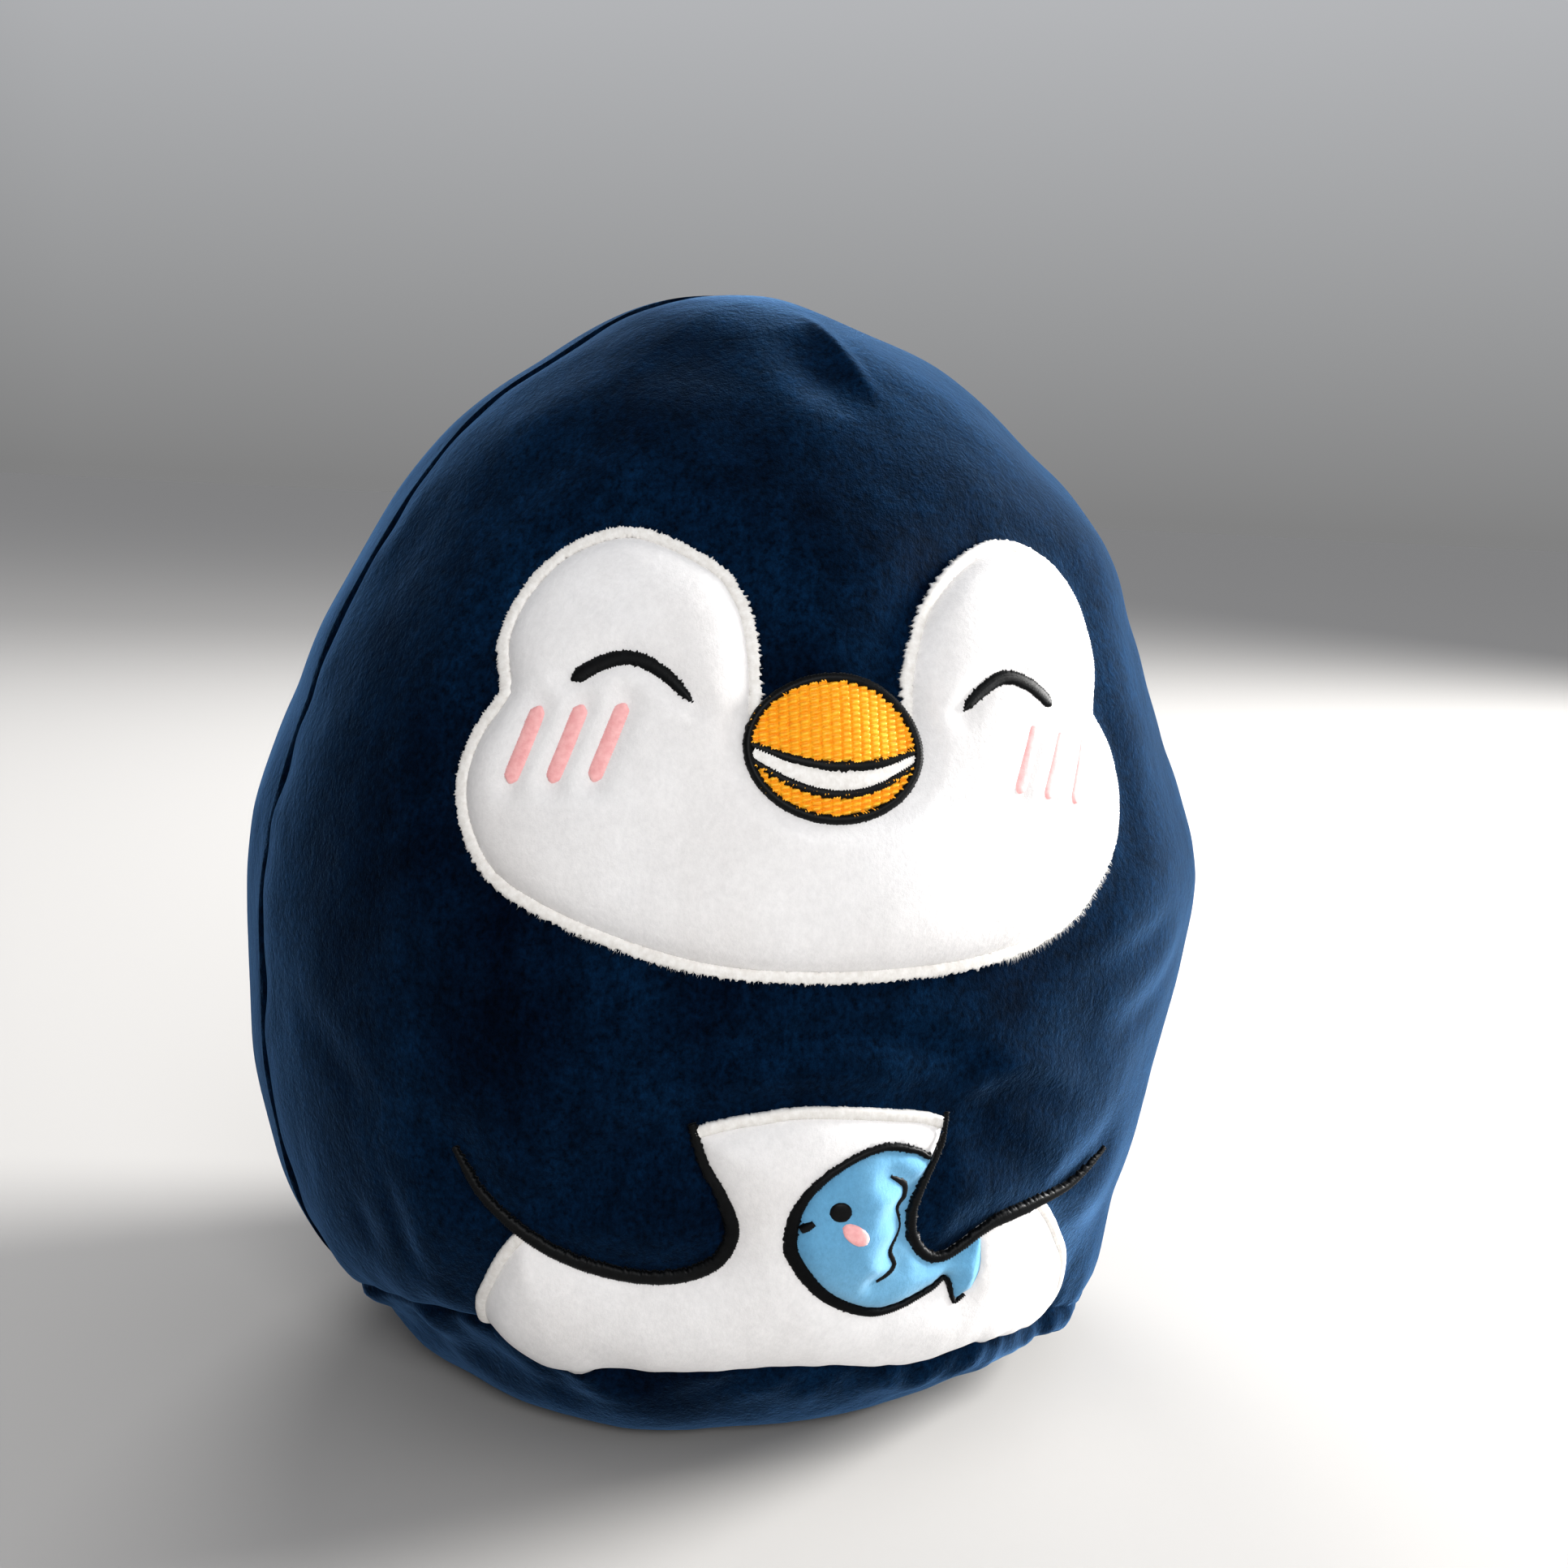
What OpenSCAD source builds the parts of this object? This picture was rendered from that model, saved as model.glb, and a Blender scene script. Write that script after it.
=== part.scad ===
// Plush penguin: an egg-shaped stuffed toy that sits on a flat sewn base.
// Millimetres, +Z up, the front faces -Y. The origin is the middle of the base, on the surface it sits on.
// Left and right are the penguin's own: its right side is at -X.

/* [Body] */
// Height of the toy
body_h = 240; // [200:5:300]
// Width of the body at its widest
body_w = 216; // [180:2:270]
// Depth of the bare body from its middle to the front, without the patches
front_depth = 96; // [80:1:120]
// Height of the widest place
waist_h = 112; // [100:1:125]
// Height of the seam round the base
seam_h = 26; // [22:1:32]
// Half width of the flat foot
foot_r = 60; // [50:1:66]
// Angle of the side seams from the front, seen from above
seam_angle = 77; // [70:1:85]

/* [Cloth and thread] */
// Thickness of the plush with its pile
skin_t = 2.5; // [1.8:0.1:3.5]
// Thickness of the white and blue plush patches
patch_t = 1.6; // [1:0.1:2.2]
// Height of the satin stitching above the cloth it is sewn on
satin_t = 1.2; // [0.8:0.1:1.6]
// Width of the satin edge of the face and the belly
border_w = 2.5; // [2:0.1:3.2]
// Width of the black lines of the flippers and the fish, at their widest
line_w = 2.8; // [2:0.1:3.2]
// Width of the black edge of the beak
beak_line_w = 1.8; // [1.2:0.1:2.2]
// Thickness of the stabiliser sheets behind the embroidery
backing_t = 0.6; // [0.4:0.1:0.7]

/* [Hidden] */

navy = "#16294f";
white = "#f2efec";
black = "#1b1d22";
pink = "#f3b6bb";
orange = "#f7a628";
blue = "#9cc8e6";
thread_colour = "#101c38";

half_w = body_w / 2;
back_depth = front_depth + patch_t + satin_t;
// The patches are drawn for a body of this width and height, and stretch with it
art_size = [body_w / 216, body_h / 240];
columns = 72;
base_rows = 5;
lower_rows = 8;
upper_rows = 13;
crown_power = 1.25;
lower_slim = 0.6;
thread_in = 0.1;
thread_d = 0.5;
fill_gap = 0.8;
far = 400;
bit = 1;

// --- The egg ---------------------------------------------------------------------------------------

// Half width below the waist
function lower_r(z) = half_w * sqrt(1 - lower_slim * pow((waist_h - z) / waist_h, 3));
seam_r = lower_r(seam_h);
// Where the base leaves the seam in line with the wall above it
base_corner_r = seam_r - (lower_r(seam_h + bit) - seam_r) / bit * seam_h;

// Outline of the egg from the edge of the foot to just under the pole, as [half width, height]
function base_ring(t) = [
    pow(1 - t, 2) * seam_r + 2 * t * (1 - t) * base_corner_r + t * t * foot_r,
    pow(1 - t, 2) * seam_h
];
function lower_ring(t) = let(z = seam_h + (waist_h - seam_h) * t) [lower_r(z), z];
function upper_ring(a) = [half_w * cos(a), waist_h + (body_h - waist_h) * pow(sin(a), crown_power)];
function egg_profile(rough) = [
    for (i = [base_rows : -1 : 1]) base_ring(i / base_rows),
    for (i = [0 : rough : lower_rows - 1]) lower_ring(i / lower_rows),
    for (i = [0 : rough : upper_rows - 1]) upper_ring(90 * i / upper_rows)
];

function unit(v) = v / norm(v);
function outward(run, i) = let(
    before = i == 0 ? [0, 0] : run[i - 1],
    after = i == len(run) - 1 ? [0, body_h] : run[i + 1],
    along = unit(unit(run[i] - before) + unit(after - run[i]))
) [along.y, -along.x];

// One point of a ring: the front and the back of the body have their own depth
function egg_point(r, z, grow, a) = let(depth = cos(a) > 0 ? front_depth : back_depth) [
    (r + grow.x) * sin(a),
    -(r * depth / half_w + grow.x) * cos(a),
    z + grow.y
];

// The whole body as one closed solid, grown outwards by a distance
module egg(grow, rough = 1) {
    run = egg_profile(rough);
    rings = len(run);
    around = columns / rough;
    points = [
        for (i = [0 : rings - 1], k = [0 : around - 1])
            egg_point(run[i].x, run[i].y, i == 0 ? [0, -grow] : grow * outward(run, i), 360 * k / around),
        [0, 0, body_h + grow]
    ];
    sides = [
        for (i = [0 : rings - 2], k = [0 : around - 1]) let(
            low = i * around,
            next = (k + 1) % around
        ) each [
            [low + k, low + next + around, low + next],
            [low + k, low + k + around, low + next + around]
        ]
    ];
    crown = [for (k = [0 : around - 1]) let(low = (rings - 1) * around)
        [low + k, rings * around, low + (k + 1) % around]];
    foot = [[for (k = [0 : around - 1]) k]];
    polyhedron(concat(points), concat(sides, crown, foot), convexity = 4);
}

// A layer of cloth or thread that lies on the body between two heights above the bare plush
module layer(bottom, top) {
    difference() {
        egg(top);
        egg(bottom);
    }
}

// One closed mesh
module sewn() resize([0, 0, 0]) children();

// The front of the body, the two side seams being its edges
module front_wedge() {
    reach = [far * sin(seam_angle), -far * cos(seam_angle)];
    linear_extrude(far) polygon([[0, 0], reach, [far, -far], [-far, -far], [-reach.x, reach.y]]);
}

module above_seam() translate([-far, -far, seam_h]) cube([2 * far, 2 * far, far]);

// Cuts a layer to an outline drawn on the front, as seen from the front
module on_front(bottom, top) {
    sewn() intersection() {
        layer(bottom, top);
        rotate([90, 0, 0]) linear_extrude(far) scale(art_size) children();
    }
}

// --- Outlines, as [sideways, height] in millimetres ------------------------------------------------

steps = 4;
function bend(a, b, c, d, t) =
    0.5 * (2 * b + (c - a) * t + (2 * a - 5 * b + 4 * c - d) * t * t + (3 * b - a - 3 * c + d) * t * t * t);
// A smooth run through the points
function curve(p, n = steps) = let(last = len(p) - 1) [
    for (i = [0 : last - 1], k = [0 : n - 1])
        bend(p[max(i - 1, 0)], p[i], p[i + 1], p[min(i + 2, last)], k / n),
    p[last]
];

// A line of thread along a run of points, whose width changes from one end to the other
function side(p, i) = let(
    last = len(p) - 1,
    along = unit(p[min(i + 1, last)] - p[max(i - 1, 0)])
) [-along.y, along.x];
function width_at(widths, t) = let(n = len(widths) - 1, i = min(floor(t * n), n - 1))
    widths[i] + (widths[i + 1] - widths[i]) * (t * n - i);
module stroke(p, widths) {
    last = len(p) - 1;
    polygon([
        for (i = [0 : last]) p[i] + side(p, i) * width_at(widths, i / last) / 2,
        for (i = [last : -1 : 0]) p[i] - side(p, i) * width_at(widths, i / last) / 2
    ]);
}

cheeks = [[-59.2, 158.6], [-64.9, 149.8], [-67.4, 140.2], [-65.6, 130.6], [-60.2, 122.6], [-47.9, 116.1],
    [-33.2, 111.4], [-18, 108.5], [0, 107.9], [20.4, 108.4], [33.7, 109.7], [45.5, 112.6], [54.5, 117.1],
    [60.8, 123.3], [67.3, 131.4], [69.8, 141.2], [68, 149.9], [63.1, 157.2]];
left_lobe = [[63.1, 157.2], [64.7, 166], [63, 174.7], [59.2, 181.3], [51.9, 187.3], [41.5, 190.8], [31, 188],
    [20.6, 178.6], [15.8, 166.8], [14.6, 156.5]];
right_lobe = [[-11.9, 156.5], [-11.7, 163], [-12.1, 171], [-14, 178.5], [-19.2, 185], [-33.7, 190.7],
    [-46.3, 186.6], [-54.8, 178], [-59.4, 168], [-59.2, 158.6]];
belly = [[-57, 17], [-60.2, 30], [-60, 40], [-54, 54.8], [-38, 71], [-22, 80], [-10, 83.4], [0, 84.5],
    [15.5, 82.9], [27, 80.1], [42, 70.5], [58, 53.3], [64.4, 45.2], [69.8, 38.4], [71.8, 32.5], [70.4, 27],
    [67, 17]];
right_flipper = [[-23, 80.5], [-20.5, 73], [-16.5, 66], [-14, 58.8], [-16.2, 52.2], [-22.5, 48.4], [-31, 47.5],
    [-40.2, 48.9], [-48, 52], [-55, 56.9], [-61, 63], [-65.5, 71]];
left_flipper = [[27.2, 81.5], [26.6, 75.2], [22.5, 66], [21.2, 61], [22.3, 55.5], [26, 51], [30, 50.2],
    [33.5, 51.6], [40.8, 55.5], [50.9, 57], [61.5, 58.4], [71.5, 63.8]];
fish = [[23.8, 72.7], [20.4, 74.9], [14, 76.4], [7.6, 74.9], [2, 71.5], [-1.8, 67], [-3.4, 61.6], [-2.5, 55.2],
    [5, 46.1], [15.6, 41.3], [26.6, 43.7], [30.3, 45.6]];
tail = [[30.3, 45.6], [31.4, 44.9], [33.3, 40.7], [35.8, 41.4]];
tail_edge = [[38.2, 46.5], [37.8, 54], [32, 60], [27, 68]];
gill = [[14.9, 70.8], [18.2, 68.5], [18.8, 65.6], [17.4, 63.5], [18.9, 58.6], [16.7, 54.6], [18, 51], [14.4, 48.6]];
dart = [[10, 230], [14, 224], [17, 217]];
right_eye_arc = [[-45.6, 160.2], [-40, 163.8], [-34.9, 165], [-29.6, 162.8], [-24.2, 157.7]];
left_eye_arc = [[46, 157.8], [40.6, 161.8], [35, 163.4], [29.8, 160.9], [26.2, 157.3]];
eye_widths = [2.9, 3.2, 3.2, 2.8, 1.1];
beak_middle = [1.2, 150.9];
beak_size = [34.2, 27];
upper_lip = [[-16, 152], [-8.1, 149.2], [-3.6, 148.2], [1.1, 147.7], [8.6, 148.2], [18.4, 151]];
lower_lip = [[-16, 149.5], [-8.2, 145.1], [-2.8, 143.3], [2.2, 142.9], [8.5, 144.1], [18.4, 149.2]];
upper_lip_w = 1.8;
lower_lip_w = 1.7;
tail_line_w = 0.9;
// How the black lines swell and thin out from end to end, as shares of their full width
right_flipper_swell = [0.6, 0.8, 1, 1, 1, 0.9, 0.8, 0.45];
left_flipper_swell = [0.45, 0.7, 0.85, 0.95, 0.95, 0.85, 0.75, 0.4];
fish_swell = [0.4, 0.65, 0.75, 0.9, 1, 1, 0.9, 0.75, 0.7, 0.55, 0.35];

module face_outline() {
    polygon(concat(curve(cheeks), curve(left_lobe), curve(right_lobe)));
}
module belly_outline() polygon(curve(belly));
module beak_outline_shape() translate(beak_middle) scale(beak_size / 2) circle(r = 1, $fn = 40);
module inside(w) offset(delta = -w) children();

// The cloth of a flipper: everything on the outer side of its line
module flipper_area(line, way) {
    p = curve(line);
    end = p[len(p) - 1];
    polygon(concat(p, [[way * 95, end.y], [way * 95, 100], [p[0].x, 100]]));
}
module right_flipper_line() stroke(curve(right_flipper), line_w * right_flipper_swell);
module left_flipper_line() stroke(curve(left_flipper), line_w * left_flipper_swell);
module flippers() {
    flipper_area(right_flipper, -1);
    flipper_area(left_flipper, 1);
    right_flipper_line();
    left_flipper_line();
}

module above_line(p) polygon(concat(curve(p), [[p[len(p) - 1].x, 175], [p[0].x, 175]]));
module fish_line_shape() {
    stroke(curve(fish), line_w * fish_swell);
    stroke(curve(tail), [tail_line_w, tail_line_w]);
}

// --- Body ------------------------------------------------------------------------------------------

module front_panel() color(navy) sewn() intersection() {
    layer(-skin_t, 0);
    front_wedge();
    above_seam();
}

module back_panel() color(navy) sewn() difference() {
    intersection() {
        layer(-skin_t, 0);
        above_seam();
    }
    front_wedge();
}

module base_panel() color(navy) sewn() difference() {
    layer(-skin_t, 0);
    above_seam();
}

module stuffing() color(white) sewn() egg(-skin_t - fill_gap, 2);

module face_backing() color(white) on_front(-skin_t - backing_t, -skin_t) face_outline();

module belly_backing() color(white) on_front(-skin_t - backing_t, -skin_t) intersection() {
    belly_outline();
    translate([-far, seam_h + bit]) square([2 * far, far]);
}

// The seam lines lie on the inside of the plush
module thread_layer() layer(-skin_t - thread_in - thread_d, -skin_t - thread_in);

module side_seam_thread() color(thread_colour) sewn() for (way = [0, 1]) mirror([way, 0, 0])
    intersection() {
        thread_layer();
        rotate([0, 0, seam_angle - 90]) translate([way * bit, -thread_d / 2, seam_h + bit])
            cube([far, thread_d, far]);
    }

module base_seam_thread() color(thread_colour) sewn() intersection() {
    thread_layer();
    translate([-far, -far, seam_h - thread_d / 2]) cube([2 * far, 2 * far, thread_d]);
}

module crown_dart_thread() {
    color(thread_colour) on_front(-skin_t - thread_in - thread_d, -skin_t - thread_in)
        stroke(curve(dart), [thread_d, thread_d]);
}

// Hand stitches across the base seam at the back, where the fill goes in
module closing_stitches() {
    stitches = 7;
    pitch = 6;
    color(thread_colour) sewn() intersection() {
        layer(0, thread_d);
        for (i = [0 : stitches - 1]) translate([(i - (stitches - 1) / 2) * pitch, 0, seam_h])
            rotate([0, 15, 0]) translate([-thread_d, 0, -3]) cube([2 * thread_d, far, 6]);
    }
}

// --- Face ------------------------------------------------------------------------------------------

face_top = patch_t + satin_t;

module face_patch() color(white) on_front(0, patch_t) inside(border_w) face_outline();

module face_border() color(white) on_front(0, face_top) difference() {
    face_outline();
    inside(border_w) face_outline();
    beak_outline_shape();
}

module right_eye() color(black) on_front(patch_t, face_top) stroke(curve(right_eye_arc), eye_widths);
module left_eye() color(black) on_front(patch_t, face_top) stroke(curve(left_eye_arc), eye_widths);

// A cheek has three bars that lean the same way on both sides
bar_w = 3.8;
module blush_bar(top, lean) color(pink) on_front(patch_t, face_top) hull() {
    translate(top) circle(d = bar_w, $fn = 12);
    translate(top - lean) circle(d = bar_w, $fn = 12);
}
module right_bar(i) blush_bar([-51.2 + 7.2 * i, 154.1 + 0.8 * i], [4.4, 11.1]);
module left_bar(i) blush_bar([41.3 + 6.9 * i, 153.4 - 1.35 * i], [3.2, 9.7]);
module right_blush_1() right_bar(0);
module right_blush_2() right_bar(1);
module right_blush_3() right_bar(2);
module left_blush_1() left_bar(0);
module left_blush_2() left_bar(1);
module left_blush_3() left_bar(2);

// --- Beak, sewn over the lower edge of the face's cleft ---------------------------------------------

beak_bottom = face_top;
beak_top = face_top + satin_t;
module on_beak() on_front(beak_bottom, beak_top) intersection() {
    inside(beak_line_w) beak_outline_shape();
    children();
}
module upper_lip_shape() stroke(curve(upper_lip), [upper_lip_w, upper_lip_w]);
module lower_lip_shape() stroke(curve(lower_lip), [lower_lip_w, lower_lip_w]);

module beak_outline() color(black) on_front(beak_bottom, beak_top) difference() {
    beak_outline_shape();
    inside(beak_line_w) beak_outline_shape();
}
module beak_upper() color(orange) on_beak() difference() {
    above_line(upper_lip);
    upper_lip_shape();
}
module upper_lip_line() color(black) on_beak() upper_lip_shape();
module mouth_band() color(white) on_beak() difference() {
    above_line(lower_lip);
    above_line(upper_lip);
    upper_lip_shape();
    lower_lip_shape();
}
module lower_lip_line() color(black) on_beak() difference() {
    lower_lip_shape();
    upper_lip_shape();
}
module beak_lower() color(orange) on_beak() difference() {
    beak_outline_shape();
    above_line(lower_lip);
    lower_lip_shape();
}

// --- Belly and flippers ----------------------------------------------------------------------------

module on_belly(top) on_front(0, top) difference() {
    children();
    flippers();
    translate([-far, 0]) square([2 * far, seam_h]);
}
module belly_edge() difference() {
    belly_outline();
    inside(border_w) belly_outline();
}
corner_h = 75;
module below_corner(way) translate([way < 0 ? -far : 0, 0]) square([far, corner_h]);

module belly_patch() color(white) on_belly(patch_t) inside(border_w) belly_outline();
module belly_top_border() color(white) on_belly(face_top) intersection() {
    belly_edge();
    translate([-far, corner_h]) square([2 * far, far]);
}
module belly_right_border() color(white) on_belly(face_top) intersection() {
    belly_edge();
    below_corner(-1);
}
module belly_left_border() color(white) on_belly(face_top) intersection() {
    belly_edge();
    below_corner(1);
}
module right_flipper_outline() color(black) on_front(0, face_top) right_flipper_line();
module left_flipper_outline() color(black) on_front(0, face_top) left_flipper_line();

// --- Fish, sewn on the belly and held by the left flipper -------------------------------------------

fish_top = 2 * patch_t;
fish_line_top = fish_top + satin_t;

module fish_body() color(blue) on_front(patch_t, fish_top) difference() {
    polygon(concat(curve(fish), curve(tail), tail_edge));
    fish_line_shape();
    flippers();
}
module fish_outline() color(black) on_front(patch_t, fish_line_top) difference() {
    fish_line_shape();
    flippers();
}
module fish_gill_line() color(black) on_front(fish_top, fish_line_top) stroke(curve(gill), [1.2, 1.2]);
module fish_dot(place, size, slant) on_front(fish_top, fish_line_top)
    translate(place) rotate(slant) scale(size) circle(r = 1, $fn = 16);
module fish_eye() color(black) fish_dot([5.1, 65.1], [2.1, 2], 0);
module fish_cheek() color(pink) fish_dot([8.1, 60.9], [2.9, 1.6], -34);
module fish_mouth() color(black) on_front(fish_top, fish_line_top) stroke([[-1.6, 61.2], [0.3, 62.6]], [1.5, 1.2]);

// --- Output ----------------------------------------------------------------------------------------

front_panel();
back_panel();
base_panel();
stuffing();
face_backing();
belly_backing();
side_seam_thread();
base_seam_thread();
crown_dart_thread();
closing_stitches();
face_patch();
face_border();
right_eye();
left_eye();
right_blush_1();
right_blush_2();
right_blush_3();
left_blush_1();
left_blush_2();
left_blush_3();
beak_outline();
beak_upper();
upper_lip_line();
mouth_band();
lower_lip_line();
beak_lower();
belly_patch();
belly_top_border();
belly_right_border();
belly_left_border();
right_flipper_outline();
left_flipper_outline();
fish_body();
fish_outline();
fish_gill_line();
fish_eye();
fish_cheek();
fish_mouth();
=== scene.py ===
"""The looks of the plush penguin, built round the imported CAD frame. Lengths here are in millimetres
until a mesh is made, and the front faces -Y. Right and left are the penguin's own."""
import math

import bpy
import numpy as np
from mathutils import Euler, Matrix, Vector
from mathutils.geometry import delaunay_2d_cdt
from mathutils.kdtree import KDTree


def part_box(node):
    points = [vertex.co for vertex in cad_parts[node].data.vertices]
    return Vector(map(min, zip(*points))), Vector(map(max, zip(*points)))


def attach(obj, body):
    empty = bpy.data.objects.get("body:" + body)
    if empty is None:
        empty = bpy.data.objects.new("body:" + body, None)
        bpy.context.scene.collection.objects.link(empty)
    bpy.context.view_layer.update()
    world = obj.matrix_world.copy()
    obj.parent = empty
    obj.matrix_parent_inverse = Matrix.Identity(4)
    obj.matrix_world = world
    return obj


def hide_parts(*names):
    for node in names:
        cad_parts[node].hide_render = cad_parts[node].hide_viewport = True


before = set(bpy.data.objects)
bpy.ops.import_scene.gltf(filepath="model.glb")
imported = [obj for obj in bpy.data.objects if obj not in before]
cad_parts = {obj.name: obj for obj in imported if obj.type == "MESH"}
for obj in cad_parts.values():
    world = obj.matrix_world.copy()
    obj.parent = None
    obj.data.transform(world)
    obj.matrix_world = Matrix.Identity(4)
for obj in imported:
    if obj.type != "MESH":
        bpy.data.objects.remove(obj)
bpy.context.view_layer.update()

MM = 0.001
chance = np.random.default_rng(11)


# --- Sizes, from the frame ---

def box_mm(node):
    low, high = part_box(node)
    return np.array(low) / MM, np.array(high) / MM


front_low, front_high = box_mm("front_panel")
back_low, back_high = box_mm("back_panel")
BODY_H = front_high[2]
HALF_W = (back_high[0] - back_low[0]) / 2
FRONT_DEPTH = -front_low[1]
BACK_DEPTH = back_high[1]
SEAM_H = box_mm("base_panel")[1][2]
WAIST_H = 0.467 * BODY_H
FOOT_R = 0.556 * HALF_W
CROWN_POWER = 1.25
LOWER_SLIM = 0.6
WAIST_SMOOTHING = 400
WAIST_SPREAD = 30
SEAM_ANGLE = math.radians(75.5)
SKIN_T = 2.3


# --- The egg: outline, surface points and normals ---

def lower_radius(z):
    return HALF_W * np.sqrt(1 - LOWER_SLIM * ((WAIST_H - z) / WAIST_H) ** 3)


def egg_outline(step):
    """Half width and height along the side of the egg, from the edge of the foot to the pole."""
    seam_r = lower_radius(SEAM_H)
    corner_r = seam_r - (lower_radius(SEAM_H + 1) - seam_r) * SEAM_H
    t = np.linspace(1, 0, 60)
    base = np.stack([(1 - t) ** 2 * seam_r + 2 * t * (1 - t) * corner_r + t * t * FOOT_R,
                     (1 - t) ** 2 * SEAM_H], 1)
    z = np.linspace(SEAM_H, WAIST_H, 90)[1:-1]
    lower = np.stack([lower_radius(z), z], 1)
    a = np.linspace(0, math.pi / 2, 240)
    upper = np.stack([HALF_W * np.cos(a), WAIST_H + (BODY_H - WAIST_H) * np.sin(a) ** CROWN_POWER], 1)
    run = np.concatenate([base, lower, upper])
    for _ in range(WAIST_SMOOTHING):
        middle = run[1:-1]
        near_waist = np.exp(-((middle[:, 1] - WAIST_H) / WAIST_SPREAD) ** 2)[:, None]
        run[1:-1] = middle + near_waist * ((run[:-2] + run[2:]) / 2 - middle)
    along = np.concatenate([[0], np.cumsum(np.linalg.norm(np.diff(run, axis=0), axis=1))])
    even = np.arange(0, along[-1], step)
    return even, np.interp(even, along, run[:, 0]), np.interp(even, along, run[:, 1]), along[-1]


RUN_V, RUN_R, RUN_Z, POLE_V = egg_outline(0.5)
RUN_DR = np.gradient(RUN_R, RUN_V)
RUN_DZ = np.gradient(RUN_Z, RUN_V)
SEAM_V = float(np.interp(SEAM_H, RUN_Z, RUN_V))


def egg(phi, v):
    """Points and outward normals of the bare egg, at angle phi from the front and v up its side."""
    phi, v = np.broadcast_arrays(np.asarray(phi, float), np.asarray(v, float))
    r, z = np.interp(v, RUN_V, RUN_R), np.interp(v, RUN_V, RUN_Z)
    dr, dz = np.interp(v, RUN_V, RUN_DR), np.interp(v, RUN_V, RUN_DZ)
    depth = np.where(np.cos(phi) > 0, FRONT_DEPTH, BACK_DEPTH) / HALF_W
    point = np.stack([r * np.sin(phi), -r * depth * np.cos(phi), z], -1)
    normal = np.stack([np.sin(phi) * dz, -np.cos(phi) / depth * dz, -dr], -1)
    return point, normal / np.linalg.norm(normal, axis=-1, keepdims=True)


def art_place(p):
    """The angle and the way up the side of a point that is drawn on the front as [sideways, height]."""
    p = np.asarray(p, float)
    v = np.interp(p[..., 1], RUN_Z, RUN_V)
    return np.arcsin(np.clip(p[..., 0] / np.interp(v, RUN_V, RUN_R), -0.999, 0.999)), v


# --- Outlines drawn on the front, as [sideways, height] ---

def curve(points, step=0.8):
    """A smooth run through the points, with even steps."""
    p = np.array(points, float)
    q = np.concatenate([2 * p[:1] - p[1:2], p, 2 * p[-1:] - p[-2:-1]])
    t = np.linspace(0, 1, 24, endpoint=False)[:, None]
    run = [0.5 * (2 * b + (c - a) * t + (2 * a - 5 * b + 4 * c - d) * t ** 2
                  + (3 * b - a - 3 * c + d) * t ** 3) for a, b, c, d in zip(q, q[1:], q[2:], q[3:])]
    return resample(np.concatenate(run + [p[-1:]]), step)


def resample(run, step):
    length = np.concatenate([[0], np.cumsum(np.linalg.norm(np.diff(run, axis=0), axis=1))])
    even = np.linspace(0, length[-1], max(4, round(length[-1] / step)) + 1)
    return np.stack([np.interp(even, length, run[:, i]) for i in range(run.shape[1])], 1)


def inset(run, distance, closed=True):
    """The run moved to its left by a distance."""
    along = np.roll(run, -1, 0) - np.roll(run, 1, 0) if closed else np.gradient(run, axis=0)
    along = along / np.maximum(np.linalg.norm(along, axis=1, keepdims=True), 1e-9)
    return run + distance * np.stack([-along[:, 1], along[:, 0]], 1)


CHEEKS = [[-59.2, 158.6], [-64.9, 149.8], [-67.4, 140.2], [-65.6, 130.6], [-60.2, 122.6], [-47.9, 116.1],
          [-33.2, 111.4], [-18, 108.5], [0, 107.9], [20.4, 108.4], [33.7, 109.7], [45.5, 112.6],
          [54.5, 117.1], [60.8, 123.3], [67.3, 131.4], [69.8, 141.2], [68, 149.9], [63.1, 157.2]]
LEFT_LOBE = [[63.1, 157.2], [64.7, 166], [63, 174.7], [59.2, 181.3], [51.9, 187.3], [41.5, 190.8],
             [31, 188], [20.6, 178.6], [15.8, 166.8], [14.6, 156.5]]
RIGHT_LOBE = [[-11.9, 156.5], [-11.7, 163], [-12.1, 171], [-14, 178.5], [-19.2, 185], [-33.7, 190.7],
              [-46.3, 186.6], [-54.8, 178], [-59.4, 168], [-59.2, 158.6]]
BELLY = [[-57, 17], [-60.2, 30], [-60, 40], [-54, 54.8], [-38, 71], [-22, 80], [-10, 83.4], [0, 84.5],
         [15.5, 82.9], [27, 80.1], [42, 70.5], [58, 53.3], [64.4, 45.2], [69.8, 38.4], [71.8, 32.5],
         [70.4, 27], [67, 17]]
RIGHT_FLIPPER = [[-23, 80.5], [-20.5, 73], [-16.5, 66], [-14, 58.8], [-16.2, 52.2], [-22.5, 48.4],
                 [-31, 47.5], [-40.2, 48.9], [-48, 52], [-55, 56.9], [-61, 63], [-65.5, 71]]
LEFT_FLIPPER = [[27.2, 81.5], [26.6, 75.2], [22.5, 66], [21.2, 61], [22.3, 55.5], [26, 51], [30, 50.2],
                [33.5, 51.6], [40.8, 55.5], [50.9, 57], [61.5, 58.4], [71.5, 63.8]]
FISH = [[23.8, 72.7], [20.4, 74.9], [14, 76.4], [7.6, 74.9], [2, 71.5], [-1.8, 67], [-3.4, 61.6],
        [-2.5, 55.2], [5, 46.1], [15.6, 41.3], [26.6, 43.7], [30.3, 45.6]]
TAIL = [[30.3, 45.6], [31.4, 44.9], [33.3, 40.7], [35.8, 41.4]]
TAIL_EDGE = [[35.8, 41.4], [38.2, 46.5], [37.8, 54]]
UNDER_FLIPPER = [[32, 60], [27, 68]]
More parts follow.
